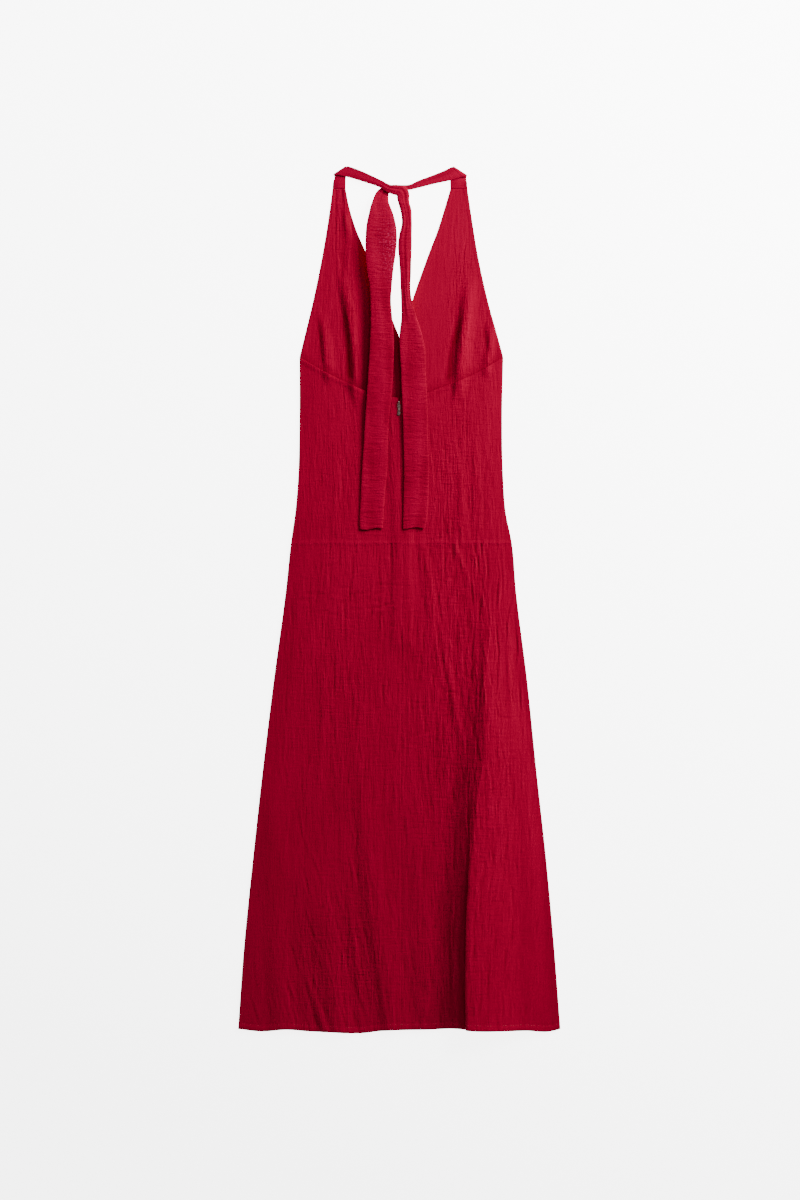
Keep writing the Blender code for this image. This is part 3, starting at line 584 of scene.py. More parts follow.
def crinkle_rows(tree, place, lines, creased):
    """Grooves and ridges of some crinkles, added up, and fainter where the cloth is smooth."""
    rows = [(placed(tree, FINE_CRINKLE, Place=place, Across=across, Along=along), strength)
            for across, along, strength in lines]
    totals = []
    for label in ("Groove", "Ridge"):
        parts = [math_node(tree, "MULTIPLY", row[label], strength) for row, strength in rows]
        total = parts[0]
        for part in parts[1:]:
            total = math_node(tree, "ADD", total, part)
        totals.append(math_node(tree, "MULTIPLY", total, creased))
    return totals


# %% Cloth finish
# How strongly crinkle grooves get painted shade and their ridges a painted highlight; then the pink
# of the painted sheen flecks.
PAINTED_CRINKLE_SHADING = 0.30
PAINTED_SHEEN_PINK = (0.62, 0.05, 0.17, 1)
WEAVE_HEIGHT = 0.22


def cloth_finish(name, colour, painted_shade_and_mottle_colour, painted_highlight_colour, lines, crinkled=1.0, ribbed=0.0):
    """Matt crinkled cloth with painted shade in its creases, painted highlights on its ridges and a
    painted pink sheen in flecks.
    """
    material, tree, shader = new_material(name)
    place = add(tree, "ShaderNodeUVMap", uv_map="cloth").outputs["UV"]
    painted_shading, shine, creased = [add(tree, "ShaderNodeAttribute", attribute_name=label).outputs["Fac"]
                              for label in MARKS]
    groove, ridge = crinkle_rows(tree, place, lines, creased)

    base = (*colour, 1)
    # Painted shade and painted highlight: the colour is darkened towards the dark tone in creases
    # and hollows and lightened towards the light tone on ridges, from the shading mark and the fine
    # crinkle.
    for mask, strength, tone in ((painted_shading, -0.6, painted_shade_and_mottle_colour), (painted_shading, 0.6, painted_highlight_colour),
                                 (groove, PAINTED_CRINKLE_SHADING * crinkled, painted_shade_and_mottle_colour),
                                 (ridge, PAINTED_CRINKLE_SHADING * crinkled, painted_highlight_colour)):
        amount = math_node(tree, "MULTIPLY", mask, strength, clamp=True)
        base = mix_colour(tree, amount, base, (*tone, 1))
    # Random mottling of the tone, towards the same dark colour.
    mottle = placed(tree, MOTTLE, Place=place, Patches=9.0)["Tone"]
    base = mix_colour(tree, remap(tree, mottle, 0.35, 0.65, 0.10, 0.0), base, (*painted_shade_and_mottle_colour, 1))
    # Painted sheen: sparse pink flecks, where the shine mark is set, stand in for light through and
    # off the thin cloth; there the cloth is also smoother.
    flecks = add(tree, "ShaderNodeMapping", {"Vector": place, "Scale": (300.0, 520.0, 1.0)})
    fleck = noise(tree, flecks.outputs[0], 1.0, Detail=3.0, Roughness=0.7)
    painted_sheen = math_node(tree, "MULTIPLY", remap(tree, fleck, 0.56, 0.61), shine, clamp=True)

    height = math_node(tree, "MULTIPLY", math_node(tree, "SUBTRACT", ridge, groove), crinkled)
    weave = placed(tree, WEAVE, Place=place, Threads=1400.0, Shake=3.0)["Height"]
    height = math_node(tree, "ADD", height, math_node(tree, "MULTIPLY", weave, WEAVE_HEIGHT))
    if ribbed > 0:
        rib_place = add(tree, "ShaderNodeMapping", {"Vector": place, "Scale": (1000, 1000, 1)})
        ribs = add(tree, "ShaderNodeTexWave",
                   {"Vector": rib_place.outputs[0], "Scale": 0.16, "Distortion": 2.2,
                    "Detail": 2.0, "Detail Scale": 0.4}, bands_direction="Y")
        rib_height = math_node(tree, "MULTIPLY", creased, 2 * ribbed)
        rib_height = math_node(tree, "MULTIPLY", rib_height, ribs.outputs["Fac"])
        height = math_node(tree, "ADD", height, rib_height)
    feed(tree, shader, {
        "Base Color": mix_colour(tree, painted_sheen, base, PAINTED_SHEEN_PINK),
        "Roughness": remap(tree, painted_sheen, 0.0, 1.0, 0.82, 0.55),
        "Normal": bump(tree, height, 0.7, 0.0006),
        "Specular IOR Level": 0.12, "Specular Tint": (1.0, 0.02, 0.08, 1.0),
        "Sheen Weight": 0.06, "Sheen Roughness": 0.5, "Sheen Tint": (1.0, 0.0, 0.06, 1.0)})
    return material


# In each finish the second colour is the painted shade of creases and the dark of the mottling, and
# the third is the painted highlight of ridges.
CRIMSON = cloth_finish("crimson_crinkle", (0.27, 0.0, 0.021), (0.12, 0.0, 0.006),
                       (0.36, 0.0, 0.031), CRINKLE_LINES)
TIE_CRIMSON = cloth_finish("crimson_tie", (0.275, 0.0, 0.022), (0.12, 0.0, 0.006),
                           (0.36, 0.0, 0.032), TIE_LINES, crinkled=0.9, ribbed=0.35)


# %% [markdown]
# ## A sheet of cloth
# Each panel starts as a grid of places between its edges. The grid is lifted to the height of
# the folds and crinkles, a second grid follows 0.9 mm below it, and a rim closes the two, so
# the cloth is a thin closed shell like the real one.

# %% Make a panel from its grid
CLOTH = 0.9
EDGE = 0.5


def grid_quads(rows, columns):
    corner = np.arange(rows - 1)[:, None] * columns + np.arange(columns - 1)[None, :]
    quads = np.stack([corner, corner + 1, corner + columns + 1, corner + columns], axis=-1)
    return quads.reshape(-1, 4)


def rim_quads(rows, columns):
    loop = list(range(columns))
    loop += [i * columns + columns - 1 for i in range(1, rows)]
    loop += [(rows - 1) * columns + j for j in range(columns - 2, -1, -1)]
    loop += [i * columns for i in range(rows - 2, 0, -1)]
    loop = np.array(loop)
    after = np.roll(loop, -1)
    under = rows * columns
    return np.stack([loop, loop + under, after + under, after], axis=-1)


def to_metres(points):
    return (np.asarray(points) - np.array([0.0, LENGTH / 2, 0.0])) * MM


def make_piece(name, points, quads, places, finish, marks):
    """A piece from points in millimetres, with its cloth map and marks for its finish."""
    mesh = bpy.data.meshes.new(name)
    mesh.from_pydata(to_metres(points).tolist(), [], quads.tolist())
    layer = mesh.uv_layers.new(name="cloth")
    corners = np.empty(len(mesh.loops), dtype=np.int32)
    mesh.loops.foreach_get("vertex_index", corners)
    layer.data.foreach_set("uv", (places * MM)[corners].ravel())
    for label, values in zip(MARKS, marks):
        mark = mesh.attributes.new(label, "FLOAT", "POINT")
        full = np.zeros(len(points)) if values is None else np.asarray(values, dtype=float)
        mark.data.foreach_set("value", full.astype(np.float32))
    mesh.materials.append(finish)
    mesh.shade_smooth()
    piece = put(name, mesh)
    print(name, len(mesh.polygons), "faces")
    return piece


def upward_normals(top):
    normals = np.cross(np.gradient(top, axis=1), np.gradient(top, axis=0))
    return normals / np.linalg.norm(normals, axis=2, keepdims=True)


def cloth_panel(name, plan, height, low, finish, painted_shading=None, shine=None, shift=None, thick=CLOTH,
                drops=(0.4, 0.4, 0.4, 0.4)):
    """A closed thin shell over a grid of places. low is the level that it stays above, and drops
    are how far its lower, upper, left and right edges turn down."""
    rows, columns, _ = plan.shape
    top = np.dstack([plan, np.maximum(height, low + thick)])
    if shift is not None:
        top[..., 0] += shift
    under = top - thick * upward_normals(top)
    under[..., 2] = np.maximum(under[..., 2], low)
    rim = np.zeros((rows, columns), dtype=bool)
    rim[[0, -1], :] = True
    rim[:, [0, -1]] = True
    under[rim, :2] = top[rim, :2]
    for part, drop in zip((np.s_[0], np.s_[-1], np.s_[:, 0], np.s_[:, -1]), drops):
        top[part][..., 2] -= drop * thick
    steps = np.linalg.norm(np.diff(top, axis=1), axis=2)
    across = np.concatenate([np.zeros((rows, 1)), np.cumsum(steps, axis=1)], axis=1)
    along = np.linalg.norm(np.diff(top, axis=0), axis=2).sum(axis=0)
    print(name, "laid flat:", round(across[:, -1].max()), "x", round(along.max()), "mm")
    places = np.stack([plan[:, :1, 0] + across, plan[..., 1]], axis=-1).reshape(-1, 2)
    points = np.vstack([top.reshape(-1, 3), under.reshape(-1, 3)])
    count = rows * columns
    quads = np.vstack([grid_quads(rows, columns), grid_quads(rows, columns)[:, ::-1] + count,
                       rim_quads(rows, columns)])
    marks = [None if mark is None else np.tile(np.broadcast_to(mark, (rows, columns)).ravel(), 2)
             for mark in (painted_shading, shine, creasing(plan[..., 0], plan[..., 1]))]
    return make_piece(name, points, quads, np.tile(places, (2, 1)), finish, marks)


def between(marks, counts):
    """Columns of a grid: places between each row's marks, each stretch split evenly."""
    marks = np.stack(np.broadcast_arrays(*marks), axis=-1)
    columns = [marks[:, 0]]
    for k, count in enumerate(counts):
        for step in range(1, count + 1):
            columns.append(marks[:, k] + (marks[:, k + 1] - marks[:, k]) * step / count)
    return np.stack(columns, axis=-1)


def framed(first, last, count, edge=EDGE):
    """Columns between two edges, with one more close to each edge."""
    return between([first, first + edge, last - edge, last], [1, count, 1])


def edge_drops(side, low, high):
    """How far a panel's edges turn down: more at the side of the dress than at a seam."""
    return (low, high, 0.4, 0.1) if side == "left" else (low, high, 0.1, 0.4)


def levels(low, high, count):
    """Rows of a grid, with one more close to each end."""
    inner = np.linspace(low + EDGE, high - EDGE, count)
    return np.concatenate([[low], inner, [high]])


def creasing(x, up):
    """How creased the cloth is at a place, from the zones where creases were pressed."""
    amount = 0.16
    for zone in CREASE_ZONES[1:]:
        strength = bell((x - zone.x) / zone.wide, 1.5) * bell((up - zone.up) / zone.tall, 1.5)
        amount = amount + 1.1 * zone.depth * strength
    return np.clip(amount, 0, 1)


# Painted shade and highlight: a mark from the crinkle's height that darkens the colour in its
# hollows and lightens it on its ridges.
def painted_shading_mark(height):
    return np.clip(height / 0.9, -1, 1)


# %% [markdown]
# ## Front skirt
# The front skirt lies face down under the back, so only its edges show. It is flat cloth with
# the crinkle, and stops 12 mm above the lowest point of the back's hem.

# %% Front skirt
front_levels = levels(FRONT_HEM, HIP_SEAM, 150)
front_x = framed(follow(SIDES, "left", front_levels), follow(SIDES, "right", front_levels), 70)
front_plan = np.dstack([front_x, np.broadcast_to(front_levels[:, None], front_x.shape)])
# The front skirt's mark paints shade into crinkle hollows and a highlight onto ridges.
skirt_front = cloth_panel("skirt_front_cloth", front_plan, np.full(front_x.shape, WALL), 0.0,
                          CRIMSON, painted_shading_mark(crinkle(front_x, front_plan[..., 1])), thick=1.1)

# %% [markdown]
# ## Back skirt
# Two flared panels meet at the seam down the middle. The right one carries the large fold, so
# its grid has many columns on the steep side of the fold, where the cloth turns over its lip.
# The hem is turned up and stitched 9 mm from the edge.

# %% Back skirt panels
HEM_FOLD = 9.5
BACK_LOW = 1.35


def seam_gap(up):
    """Half of the gap down the middle of the back, open where the zip's slider comes out."""
    return 1.05 * ease((up - 1005.5) / 6)


def back_hem(x):
    return np.maximum(0.0, follow(BACK_HEM, "up", x, along="x"))


def hem_turn(above_hem):
    """Height of the turned hem: a slightly thicker band under a stitched groove."""
    return 0.35 * (1 - ease((above_hem - HEM_FOLD) / 1.5)) - 0.5 * bell(above_hem - HEM_FOLD, 1.4)


def seam_painted_highlight(x, up):
    """Painted highlight: a lighter line along the back seam, where it is pressed over the foot of
    the zip.
    """
    return 0.6 * bell(x - follow(BACK_SEAM, "x", up), 1.8) * ease((up - 600) / 90)


def seam_ridge(up):
    """The hip seam's allowance, pressed up, gives a narrow ridge above the seam."""
    return 0.5 * bell(up - HIP_SEAM - 0.8, 2.4)


def skirt_back(side):
    rows = levels(0.0, HIP_SEAM, 325)
    right = follow(SIDES, "right", rows)
    seam = follow(BACK_SEAM, "x", rows)
    if side == "left":
        x = framed(follow(SIDES, "left", rows), seam - seam_gap(rows), 112)
    else:
        start = seam + seam_gap(rows)
        crest = follow(GREAT_FOLD, "x", rows)
        wall = crest - follow(GREAT_FOLD, "wall", rows)
        gentle = np.minimum(crest + follow(GREAT_FOLD, "gentle", rows), right - 8)
        x = between([start, start + EDGE, wall, crest, gentle, right - EDGE, right],
                    [1, 44, 24, 42, 24, 1])
    hem = back_hem(x)
    up = hem + rows[:, None] / HIP_SEAM * (HIP_SEAM - hem)
    fine = crinkle(x, up)
    at_edge = ease(np.minimum(x - follow(SIDES, "left", up), follow(SIDES, "right", up) - x) / 14)
    height = back_plain(x, up) + soft_folds(FINE_FOLDS, x, up) + fine * (0.35 + 0.65 * at_edge)
    height += hem_turn(up - hem) + seam_ridge(up)
    # Painted shade in crinkle hollows with highlight on ridges, a painted highlight along the hip
    # seam, and the back seam's painted highlight.
    mark = painted_shading_mark(fine) + 0.5 * bell(up - HIP_SEAM, 2.0) + seam_painted_highlight(x, up)
    return cloth_panel("skirt_back_" + side + "_cloth", np.dstack([x, up]), height, BACK_LOW,
                       CRIMSON, mark, shift=lip_shift(x, up), drops=edge_drops(side, 0.4, 0.0))


skirt_back_left = skirt_back("left")
skirt_back_right = skirt_back("right")

# %% [markdown]
# ## Back bodice
# Two panels from the hip seam to the scooped neckline, joined by the concealed zip. The cloth
# swells a little over the zip's tape, and the crinkle is quieter here than on the skirt.

# %% Back bodice panels
BODICE_CRINKLE = 0.55
NECK_LOW = 1029


def bodice_back(side):
    fractions = np.concatenate([[0.0], np.linspace(0.002, 0.998, 112), [1.0]])
    rough = HIP_SEAM + fractions * (NECK_LOW - HIP_SEAM)
    seam = follow(BACK_SEAM, "x", rough)
    if side == "left":
        x = framed(follow(SIDES, "left", rough), seam - seam_gap(rough), 76)
    else:
        x = framed(seam + seam_gap(rough), follow(SIDES, "right", rough), 76)
    up = HIP_SEAM + fractions[:, None] * (follow(NECKLINE, "up", x, along="x") - HIP_SEAM)
    seam = follow(BACK_SEAM, "x", up)
    if side == "left":
        x[:, :2] = follow(SIDES, "left", up[:, :2]) + np.array([0, EDGE])
        x[:, -2:] = (seam - seam_gap(up))[:, -2:] - np.array([EDGE, 0])
    else:
        x[:, -2:] = follow(SIDES, "right", up[:, -2:]) - np.array([EDGE, 0])
        x[:, :2] = (seam + seam_gap(up))[:, :2] + np.array([0, EDGE])
    below = -above_neckline(x, up)
    fine = crinkle(x, up) * BODICE_CRINKLE * ease(below / 12)
    facing = 0.7 * (1 - ease((below - 3) / 9)) - 0.15 * bell(below - 9, 1.5)
    height = back_plain(x, up) + fine + 0.7 * soft_folds(FINE_FOLDS, x, up) + facing
    height += seam_ridge(up)
    # Painted shade in crinkle hollows with highlight on ridges, a painted highlight along the hip
    # seam, and a thin painted shade line along the neckline's edge.
    mark = painted_shading_mark(fine) + 0.5 * bell(up - HIP_SEAM, 2.0) - 0.5 * bell(below, 0.7)
    return cloth_panel("bodice_back_" + side + "_cloth", np.dstack([x, up]), height, BACK_LOW,
                       CRIMSON, mark, drops=edge_drops(side, 0.0, 0.15))


bodice_back_left = bodice_back("left")
bodice_back_right = bodice_back("right")

# %% [markdown]
# ## Halter panels
# The inside of the front shows above the back's neckline: two triangular panels that run up to
# the ties. Each has a deep fold from the bust with sharp creases beside it, and streaks that
# run up to its tie.

# %% Front bodice panels
def halter_streaks(side, x, up):
    """Low creases that fan out from the tie seam."""
    centre = -97.0 if side == "left" else 97.0
    spread = (x - centre) / (1 + (TIE_SEAM - up) / 260)
    fade = ease((up - 1130) / 160)
    amount = 0.14 if side == "left" else 0.04
    return amount * fade * (np.sin(spread * 0.62 + up * 0.006) * bell(spread, 20)
                            + 0.5 * np.sin(spread * 1.15 + up * 0.013))


def bodice_front(side):
    hidden = np.linspace(HIP_SEAM, 1020, 24)
    shown = np.linspace(1022, TIE_SEAM - EDGE, 160)
    rows = np.concatenate([hidden[:1], hidden[:1] + EDGE, hidden[1:], shown, [TIE_SEAM]])
    outer = np.where(rows <= UNDERARM, follow(SIDES, side, rows), follow(ARMHOLES, side, rows))
    inner = follow(NECK_V, side, rows)
    first, last = (outer, inner) if side == "left" else (inner, outer)
    x = framed(first, last, 64)
    up = np.broadcast_to(rows[:, None], x.shape)
    above = above_neckline(x, up)
    bare = ease((above - 2) / 14)
    fine = (crinkle(x, up) * 0.5 + halter_streaks(side, x, up)) * bare
    to_v = np.abs(x - inner[:, None])
    to_arm = np.abs(x - outer[:, None])
    turned = 0.22 * (1 - ease((np.minimum(to_v, to_arm) - 5) / 2)) * bare
    crease = soft_folds(BUST_CREASES, x, up) * bare
    height = front_plain(x, up) + fine + turned + crease
    # Painted shade in crinkle hollows and in the bust creases, and a painted shadow on the inside
    # of the halter panel just above the back's neckline.
    mark = painted_shading_mark(fine) + 0.5 * crease - 0.5 * bell(above, 11) - 0.4 * bell(above, 2.5)
    # Faint painted pink sheen high on each halter panel.
    if side == "right":
        shine = 0.06 * bell(x - 101, 13) * bell(up - 1300, 62)
    else:
        shine = 0.05 * bell(x + 95, 14) * bell(up - 1320, 50)
    return cloth_panel("bodice_front_" + side + "_cloth", np.dstack([x, up]), height, 0.0,
                       CRIMSON, mark, shine, drops=edge_drops(side, 0.0, 0.1))


bodice_front_left = bodice_front("left")
bodice_front_right = bodice_front("right")

# %% [markdown]
# ## Neck ties
# Each tie is a tube of cloth, sewn to its halter panel. It folds over along a slanting line and
# runs to the middle. There the left tie passes over the right one in a half knot, both gathered
# into bands, and each tail hangs down over the back on the far side. A tie's path is a row of
# stations, each with the tie's two edges, and a smooth curve through them gives the ribbon.
# Where the tie is narrow its cloth gathers into lengthwise pleats.

# %% Stations of the ties
TIE_THICK = 1.5
FOLD_RADIUS = 0.6


class Tail(NamedTuple):
    up: float
    x: float
    wide: float
    thick: float
    lift: float


class Station(NamedTuple):
    low: tuple
    high: tuple
    thick: float
    round: float


LEFT_TAIL = [
    Tail(1345, -30.5, 27.5, 2.4, 2.2), Tail(1327, -29.6, 39, 1.8, 3.4),
    Tail(1307, -29.2, 48, 1.6, 4.6), Tail(1284, -29.2, 51, 1.6, 5.4),
    Tail(1260, -30.2, 48.5, 1.6, 5.8), Tail(1236, -30.8, 43, 1.8, 6),
    Tail(1210, -30, 36.5, 2.2, 6), Tail(1187, -30, 33.5, 2.2, 6),
    Tail(1155, -28.5, 35, 1.8, 6), Tail(1122, -27.9, 38.5, 1.6, 6),
    Tail(1090, -28.9, 39.6, 1.6, 5.6), Tail(1058, -30.6, 40.4, 1.6, 5),
    Tail(1025, -33.2, 39.6, 1.6, 4.2), Tail(993, -36, 38.5, 1.6, 3.4),
    Tail(961, -37.7, 39, 1.6, 2.7), Tail(912, -40.1, 40.5, 1.6, 2),
    Tail(863, -43.3, 39, 1.6, 1.5), Tail(830, -45.3, 38.5, 1.6, 1.3),
    Tail(816, -45.4, 37, 1.6, 1.3)]
RIGHT_TAIL = [
    Tail(1345, 7.2, 18.5, 3.6, 2.6), Tail(1333, 10.5, 18.5, 3.6, 3.2),
    Tail(1320, 12.1, 16.5, 3.8, 4), Tail(1307, 12.2, 17, 3.6, 4.6),
    Tail(1294, 10.4, 20, 3.2, 5.2), Tail(1276, 9.2, 22.4, 3, 5.6),
    Tail(1252, 9.6, 20, 3.2, 6), Tail(1228, 10.1, 17.8, 3.6, 6.2),
    Tail(1202, 10.2, 16, 3.8, 6.2), Tail(1180, 12.3, 18.5, 3.4, 6.2),
    Tail(1160, 15.4, 24, 2.8, 6), Tail(1130, 18.6, 36.5, 1.9, 6),
    Tail(1106, 21.1, 41, 1.7, 5.8), Tail(1074, 22.7, 40, 1.6, 5.2),
    Tail(1042, 24, 40.5, 1.6, 4.6), Tail(1009, 25.5, 40.5, 1.6, 4),
    Tail(961, 26.7, 40, 1.6, 3), Tail(912, 27.9, 40.5, 1.6, 2.2),
    Tail(863, 26.7, 40, 1.6, 1.6), Tail(830, 25, 38, 1.6, 1.3),
    Tail(818, 23.8, 36, 1.6, 1.3)]
LEFT_STRAP = [
    Station((-100.4, 1389.8, 2.3), (-84, 1404, 2.3), TIE_THICK, 0),
    Station((-91, 1387.8, 2.5), (-78.5, 1402.6, 2.5), TIE_THICK, 0),
    Station((-72, 1382.8, 3.2), (-62.5, 1396.6, 3.2), 1.6, 0.1),
    Station((-53.5, 1376.8, 3.8), (-46.5, 1389.4, 3.8), 1.8, 0.2),
    Station((-31, 1368.6, 4.9), (-27.5, 1380, 4.9), 2.4, 0.4)]
RIGHT_STRAP = [
    Station((98.4, 1385.4, 2.3), (84.5, 1402.6, 2.3), TIE_THICK, 0),
    Station((86.3, 1381.8, 2.5), (75.7, 1398.2, 2.5), TIE_THICK, 0),
    Station((56.3, 1375, 2.8), (49.8, 1387.6, 2.8), 1.6, 0.1),
    Station((33.6, 1369.2, 2.9), (30.4, 1380.4, 2.9), 1.9, 0.2),
    Station((18.5, 1365.6, 2.9), (17, 1374.2, 2.9), 2.4, 0.4)]
KNOT_OVER = [
    Station((-19.8, 1361, 6.2), (-13.4, 1373, 6.2), 3, 0.6),
    Station((-10.6, 1357.4, 6.6), (-2.6, 1372.2, 6.6), 3.4, 0.7),
    Station((-4, 1355.4, 6.6), (9, 1371, 6.4), 3.6, 0.7),
    Station((-3.9, 1352.6, 6.4), (15.4, 1362.4, 5.8), 3.6, 0.75)]
KNOT_UNDER = [
    Station((2, 1363.6, 2.7), (2.6, 1373.4, 2.7), 2.8, 0.6),
    Station((-9, 1362.6, 2.5), (-10, 1373.8, 2.5), 2.8, 0.6),
    Station((-16.4, 1360, 2.6), (-22.6, 1371.6, 2.6), 2.8, 0.6),
    Station((-17.2, 1356, 3), (-33.4, 1366, 3), 2.8, 0.5)]
LEFT_CORNER = ((-106.9, 1391.4), (-86.4, 1404.6))
RIGHT_CORNER = ((110.6, 1389.6), (87.6, 1404.4))


# %% Path of a tie: fold, knot and tail
def corner_wrap(corner):
    """Stations where a tie folds over along a slanting line."""
    low = np.array([*corner[0], 0.0])
    high = np.array([*corner[1], 0.0])
    line = (high - low) / np.linalg.norm(high - low)
    out = np.array([-line[1], line[0], 0.0])
    if out[1] < 0:
        out = -out
    inset = FOLD_RADIUS + TIE_THICK / 2
    stations = []
    for angle in np.radians([0, 45, 90, 135, 180]):
        move = out * (FOLD_RADIUS * np.sin(angle) - inset)
        move = move + np.array([0, 0, TIE_THICK / 2 + FOLD_RADIUS * (1 - np.cos(angle))])
        stations.append(Station(tuple(low + move), tuple(high + move), TIE_THICK, 0.0))
    return stations


def tail_stations(rows, from_left):
    """Stations of a hanging tie end, laid on the back."""
    stations = []
    for row in rows:
        edges = np.array([row.x - row.wide / 2, row.x, row.x + row.wide / 2])
        z = float(back_plain(edges, np.full(3, row.up)).max()) + row.lift
        left = (edges[0], row.up, z)
        right = (edges[2], row.up, z)
        pair = (left, right) if from_left else (right, left)
        stations.append(Station(*pair, row.thick, 0.75 if row.thick > 2.5 else 0.1))
    return stations


def tie_stations(side):
    """All stations of a tie, from its seam over the corner and the knot to its tail."""
    from_left = side == "left"
    inward = 1 if from_left else -1
    outer = float(follow(ARMHOLES, side, TIE_SEAM))
    near = float(follow(NECK_V, side, TIE_SEAM))
    mid = TIE_THICK / 2
    start = [Station((outer, TIE_SEAM, 0.54), (near, TIE_SEAM, 0.54), 1.08, 0),
             Station((outer + inward * 0.6, TIE_SEAM + 9, mid),
                     (near + inward * 0.3, TIE_SEAM + 16, mid), TIE_THICK, 0.0)]
    return (start + corner_wrap(LEFT_CORNER if from_left else RIGHT_CORNER)
            + (LEFT_STRAP + KNOT_OVER if from_left else RIGHT_STRAP + KNOT_UNDER)
            + tail_stations(RIGHT_TAIL if from_left else LEFT_TAIL, from_left))


# %% Ribbon through the stations
RIBBON_STEP = 2.0
ACROSS = 25


def neck_tie(side):
    """A closed ribbon with pleats where it is gathered, painted shade and highlight along its
    pleats and waves, and a painted pink sheen on the broad tail.
    """
    stations = tie_stations(side)
    table = np.array([[*s.low, *s.high, s.thick, s.round] for s in stations])
    middles = (table[:, :3] + table[:, 3:6]) / 2
    reach = np.linalg.norm(np.diff(table[:, :6], axis=0), axis=1) / math.sqrt(2)
    reach = np.concatenate([[0.0], np.cumsum(np.maximum(reach, 0.3))])
    at = np.unique(np.concatenate([np.arange(0, reach[-1], RIBBON_STEP), reach]))
    rows = through(reach, table, at)
    low, high, thick, gathered = rows[:, :3], rows[:, 3:6], rows[:, 6], np.clip(rows[:, 7], 0, 1)
    middle = (low + high) / 2
    half = (high - low) / 2
    normals = np.cross(half, np.gradient(middle, axis=0))
    normals /= np.linalg.norm(normals, axis=1, keepdims=True)
    spots = np.sin(np.linspace(-np.pi / 2, np.pi / 2, ACROSS))
    full = np.sqrt(np.maximum(0, 1 - spots ** 2))
    flat = np.sqrt(1 - np.abs(spots) ** 12)
    swell = np.maximum(0.12, flat * (1 - gathered[:, None]) + full * gathered[:, None])
    width = 2 * np.linalg.norm(half, axis=1)
    along = at[:, None]
    tight = (np.clip((33 - width) / 15, 0, 1) * np.clip(gathered * 1.3, 0.2, 1))[:, None]
    tight = tight * ease((along - 40) / 40)
    seed = 0.0 if side == "left" else 2.1
    pleats = (0.6 * np.sin(spots * 5.0 + along * 0.022 + seed)
              + 0.5 * np.sin(spots * 9.5 - along * 0.03 + 2 * seed)
              + 0.2 * np.sin(spots * 16.0 + along * 0.05))
    soft = 0.16 * np.sin(spots * 4.2 + along * 0.013 + seed) + 0.1 * np.sin(along * 0.07 + spots)
    lean = swell * thick[:, None] / 2 * (1 + 0.30 * pleats * tight * full ** 2)
    lift = soft * (1 - tight) * 1.6
    end = at[-1] - along
    wave = 1.3 * np.sin(spots * 3.0 + 1 + seed) * ease(1 - end / 20)
    rings = []
    marks = []
    shines = []
    for face in (1, -1):
        points = (middle[:, None, :] + half[:, None, :] * spots[None, :, None]
                  + normals[:, None, :] * (face * lean)[..., None])
        points[..., 2] += np.maximum(0, lift) * ease((at[:, None] - 150) / 60)
        points[..., 1] += wave
        points[..., 2] = np.maximum(points[..., 2], 0.05)
        rings.append(points if face > 0 else points[:, ::-1])
        # Painted shade in the hollows of the pleats and soft waves, and a painted highlight on
        # their crests.
        mark = np.clip(pleats * tight * 0.9 + soft * (1 - tight) * 2.2, -1, 1)
        marks.append(mark if face > 0 else mark[:, ::-1])
    ring = np.concatenate(rings, axis=1)
    painted_shading = np.concatenate(marks, axis=1)
    # Painted pink sheen on the broad tail that the right tie makes.
    if side == "right":
        x, up = ring[..., 0], ring[..., 1]
        shine = 0.7 * bell(x + 13, 9) * bell(up - 1268, 40) * (up < 1352)
        shine += 0.16 * bell(x + 30, 15) * bell(up - 1285, 55) * (up < 1352)
    else:
        shine = np.zeros(painted_shading.shape)
    creased = np.broadcast_to(0.15 + 0.35 * ease((along - 60) / 80), painted_shading.shape)
    print("tie cut:", round(float(width.max())), "x", round(float(at[-1])), "mm")
    size = 2 * ACROSS
    place_across = np.concatenate([spots, 2.4 - spots])[None, :] * width[:, None] / 2
    places = np.stack(np.broadcast_arrays(place_across, at[:, None]), axis=-1).reshape(-1, 2)
    corner = np.arange(len(at) - 1)[:, None] * size + np.arange(size)[None, :]
    beside = np.arange(len(at) - 1)[:, None] * size + (np.arange(size)[None, :] + 1) % size
    quads = np.stack([corner, beside, beside + size, corner + size], axis=-1).reshape(-1, 4)
    j = np.arange(ACROSS - 1)
    cap = np.stack([j, size - 1 - j, size - 2 - j, j + 1], axis=-1)
    last = cap[:, ::-1] + (len(at) - 1) * size
    points = ring.reshape(-1, 3)
    quads = np.vstack([quads, cap, last])
    a, b, c = points[quads[:, 0]], points[quads[:, 1]], points[quads[:, 2]]
    if np.einsum("ij,ij->", a, np.cross(b, c)) < 0:
        quads = quads[:, ::-1]
    return make_piece("neck_tie_" + side + "_cloth", points, quads, places, TIE_CRIMSON,
                      (painted_shading.ravel(), np.clip(shine, 0, 1).ravel(), creased.ravel()))


neck_tie_left = neck_tie("left")
neck_tie_right = neck_tie("right")

# %% [markdown]
# ## Stitches
# The hem is held by a row of short stitches in pinkish thread, and two stitches show at the
# seam of the left halter panel. A Geometry Nodes tree sets small stitches along a line: the
# line becomes a curve with even points, one stitch goes on each point, and a fixed seed leaves
# some out, because the thread sinks into the crinkle here and there.

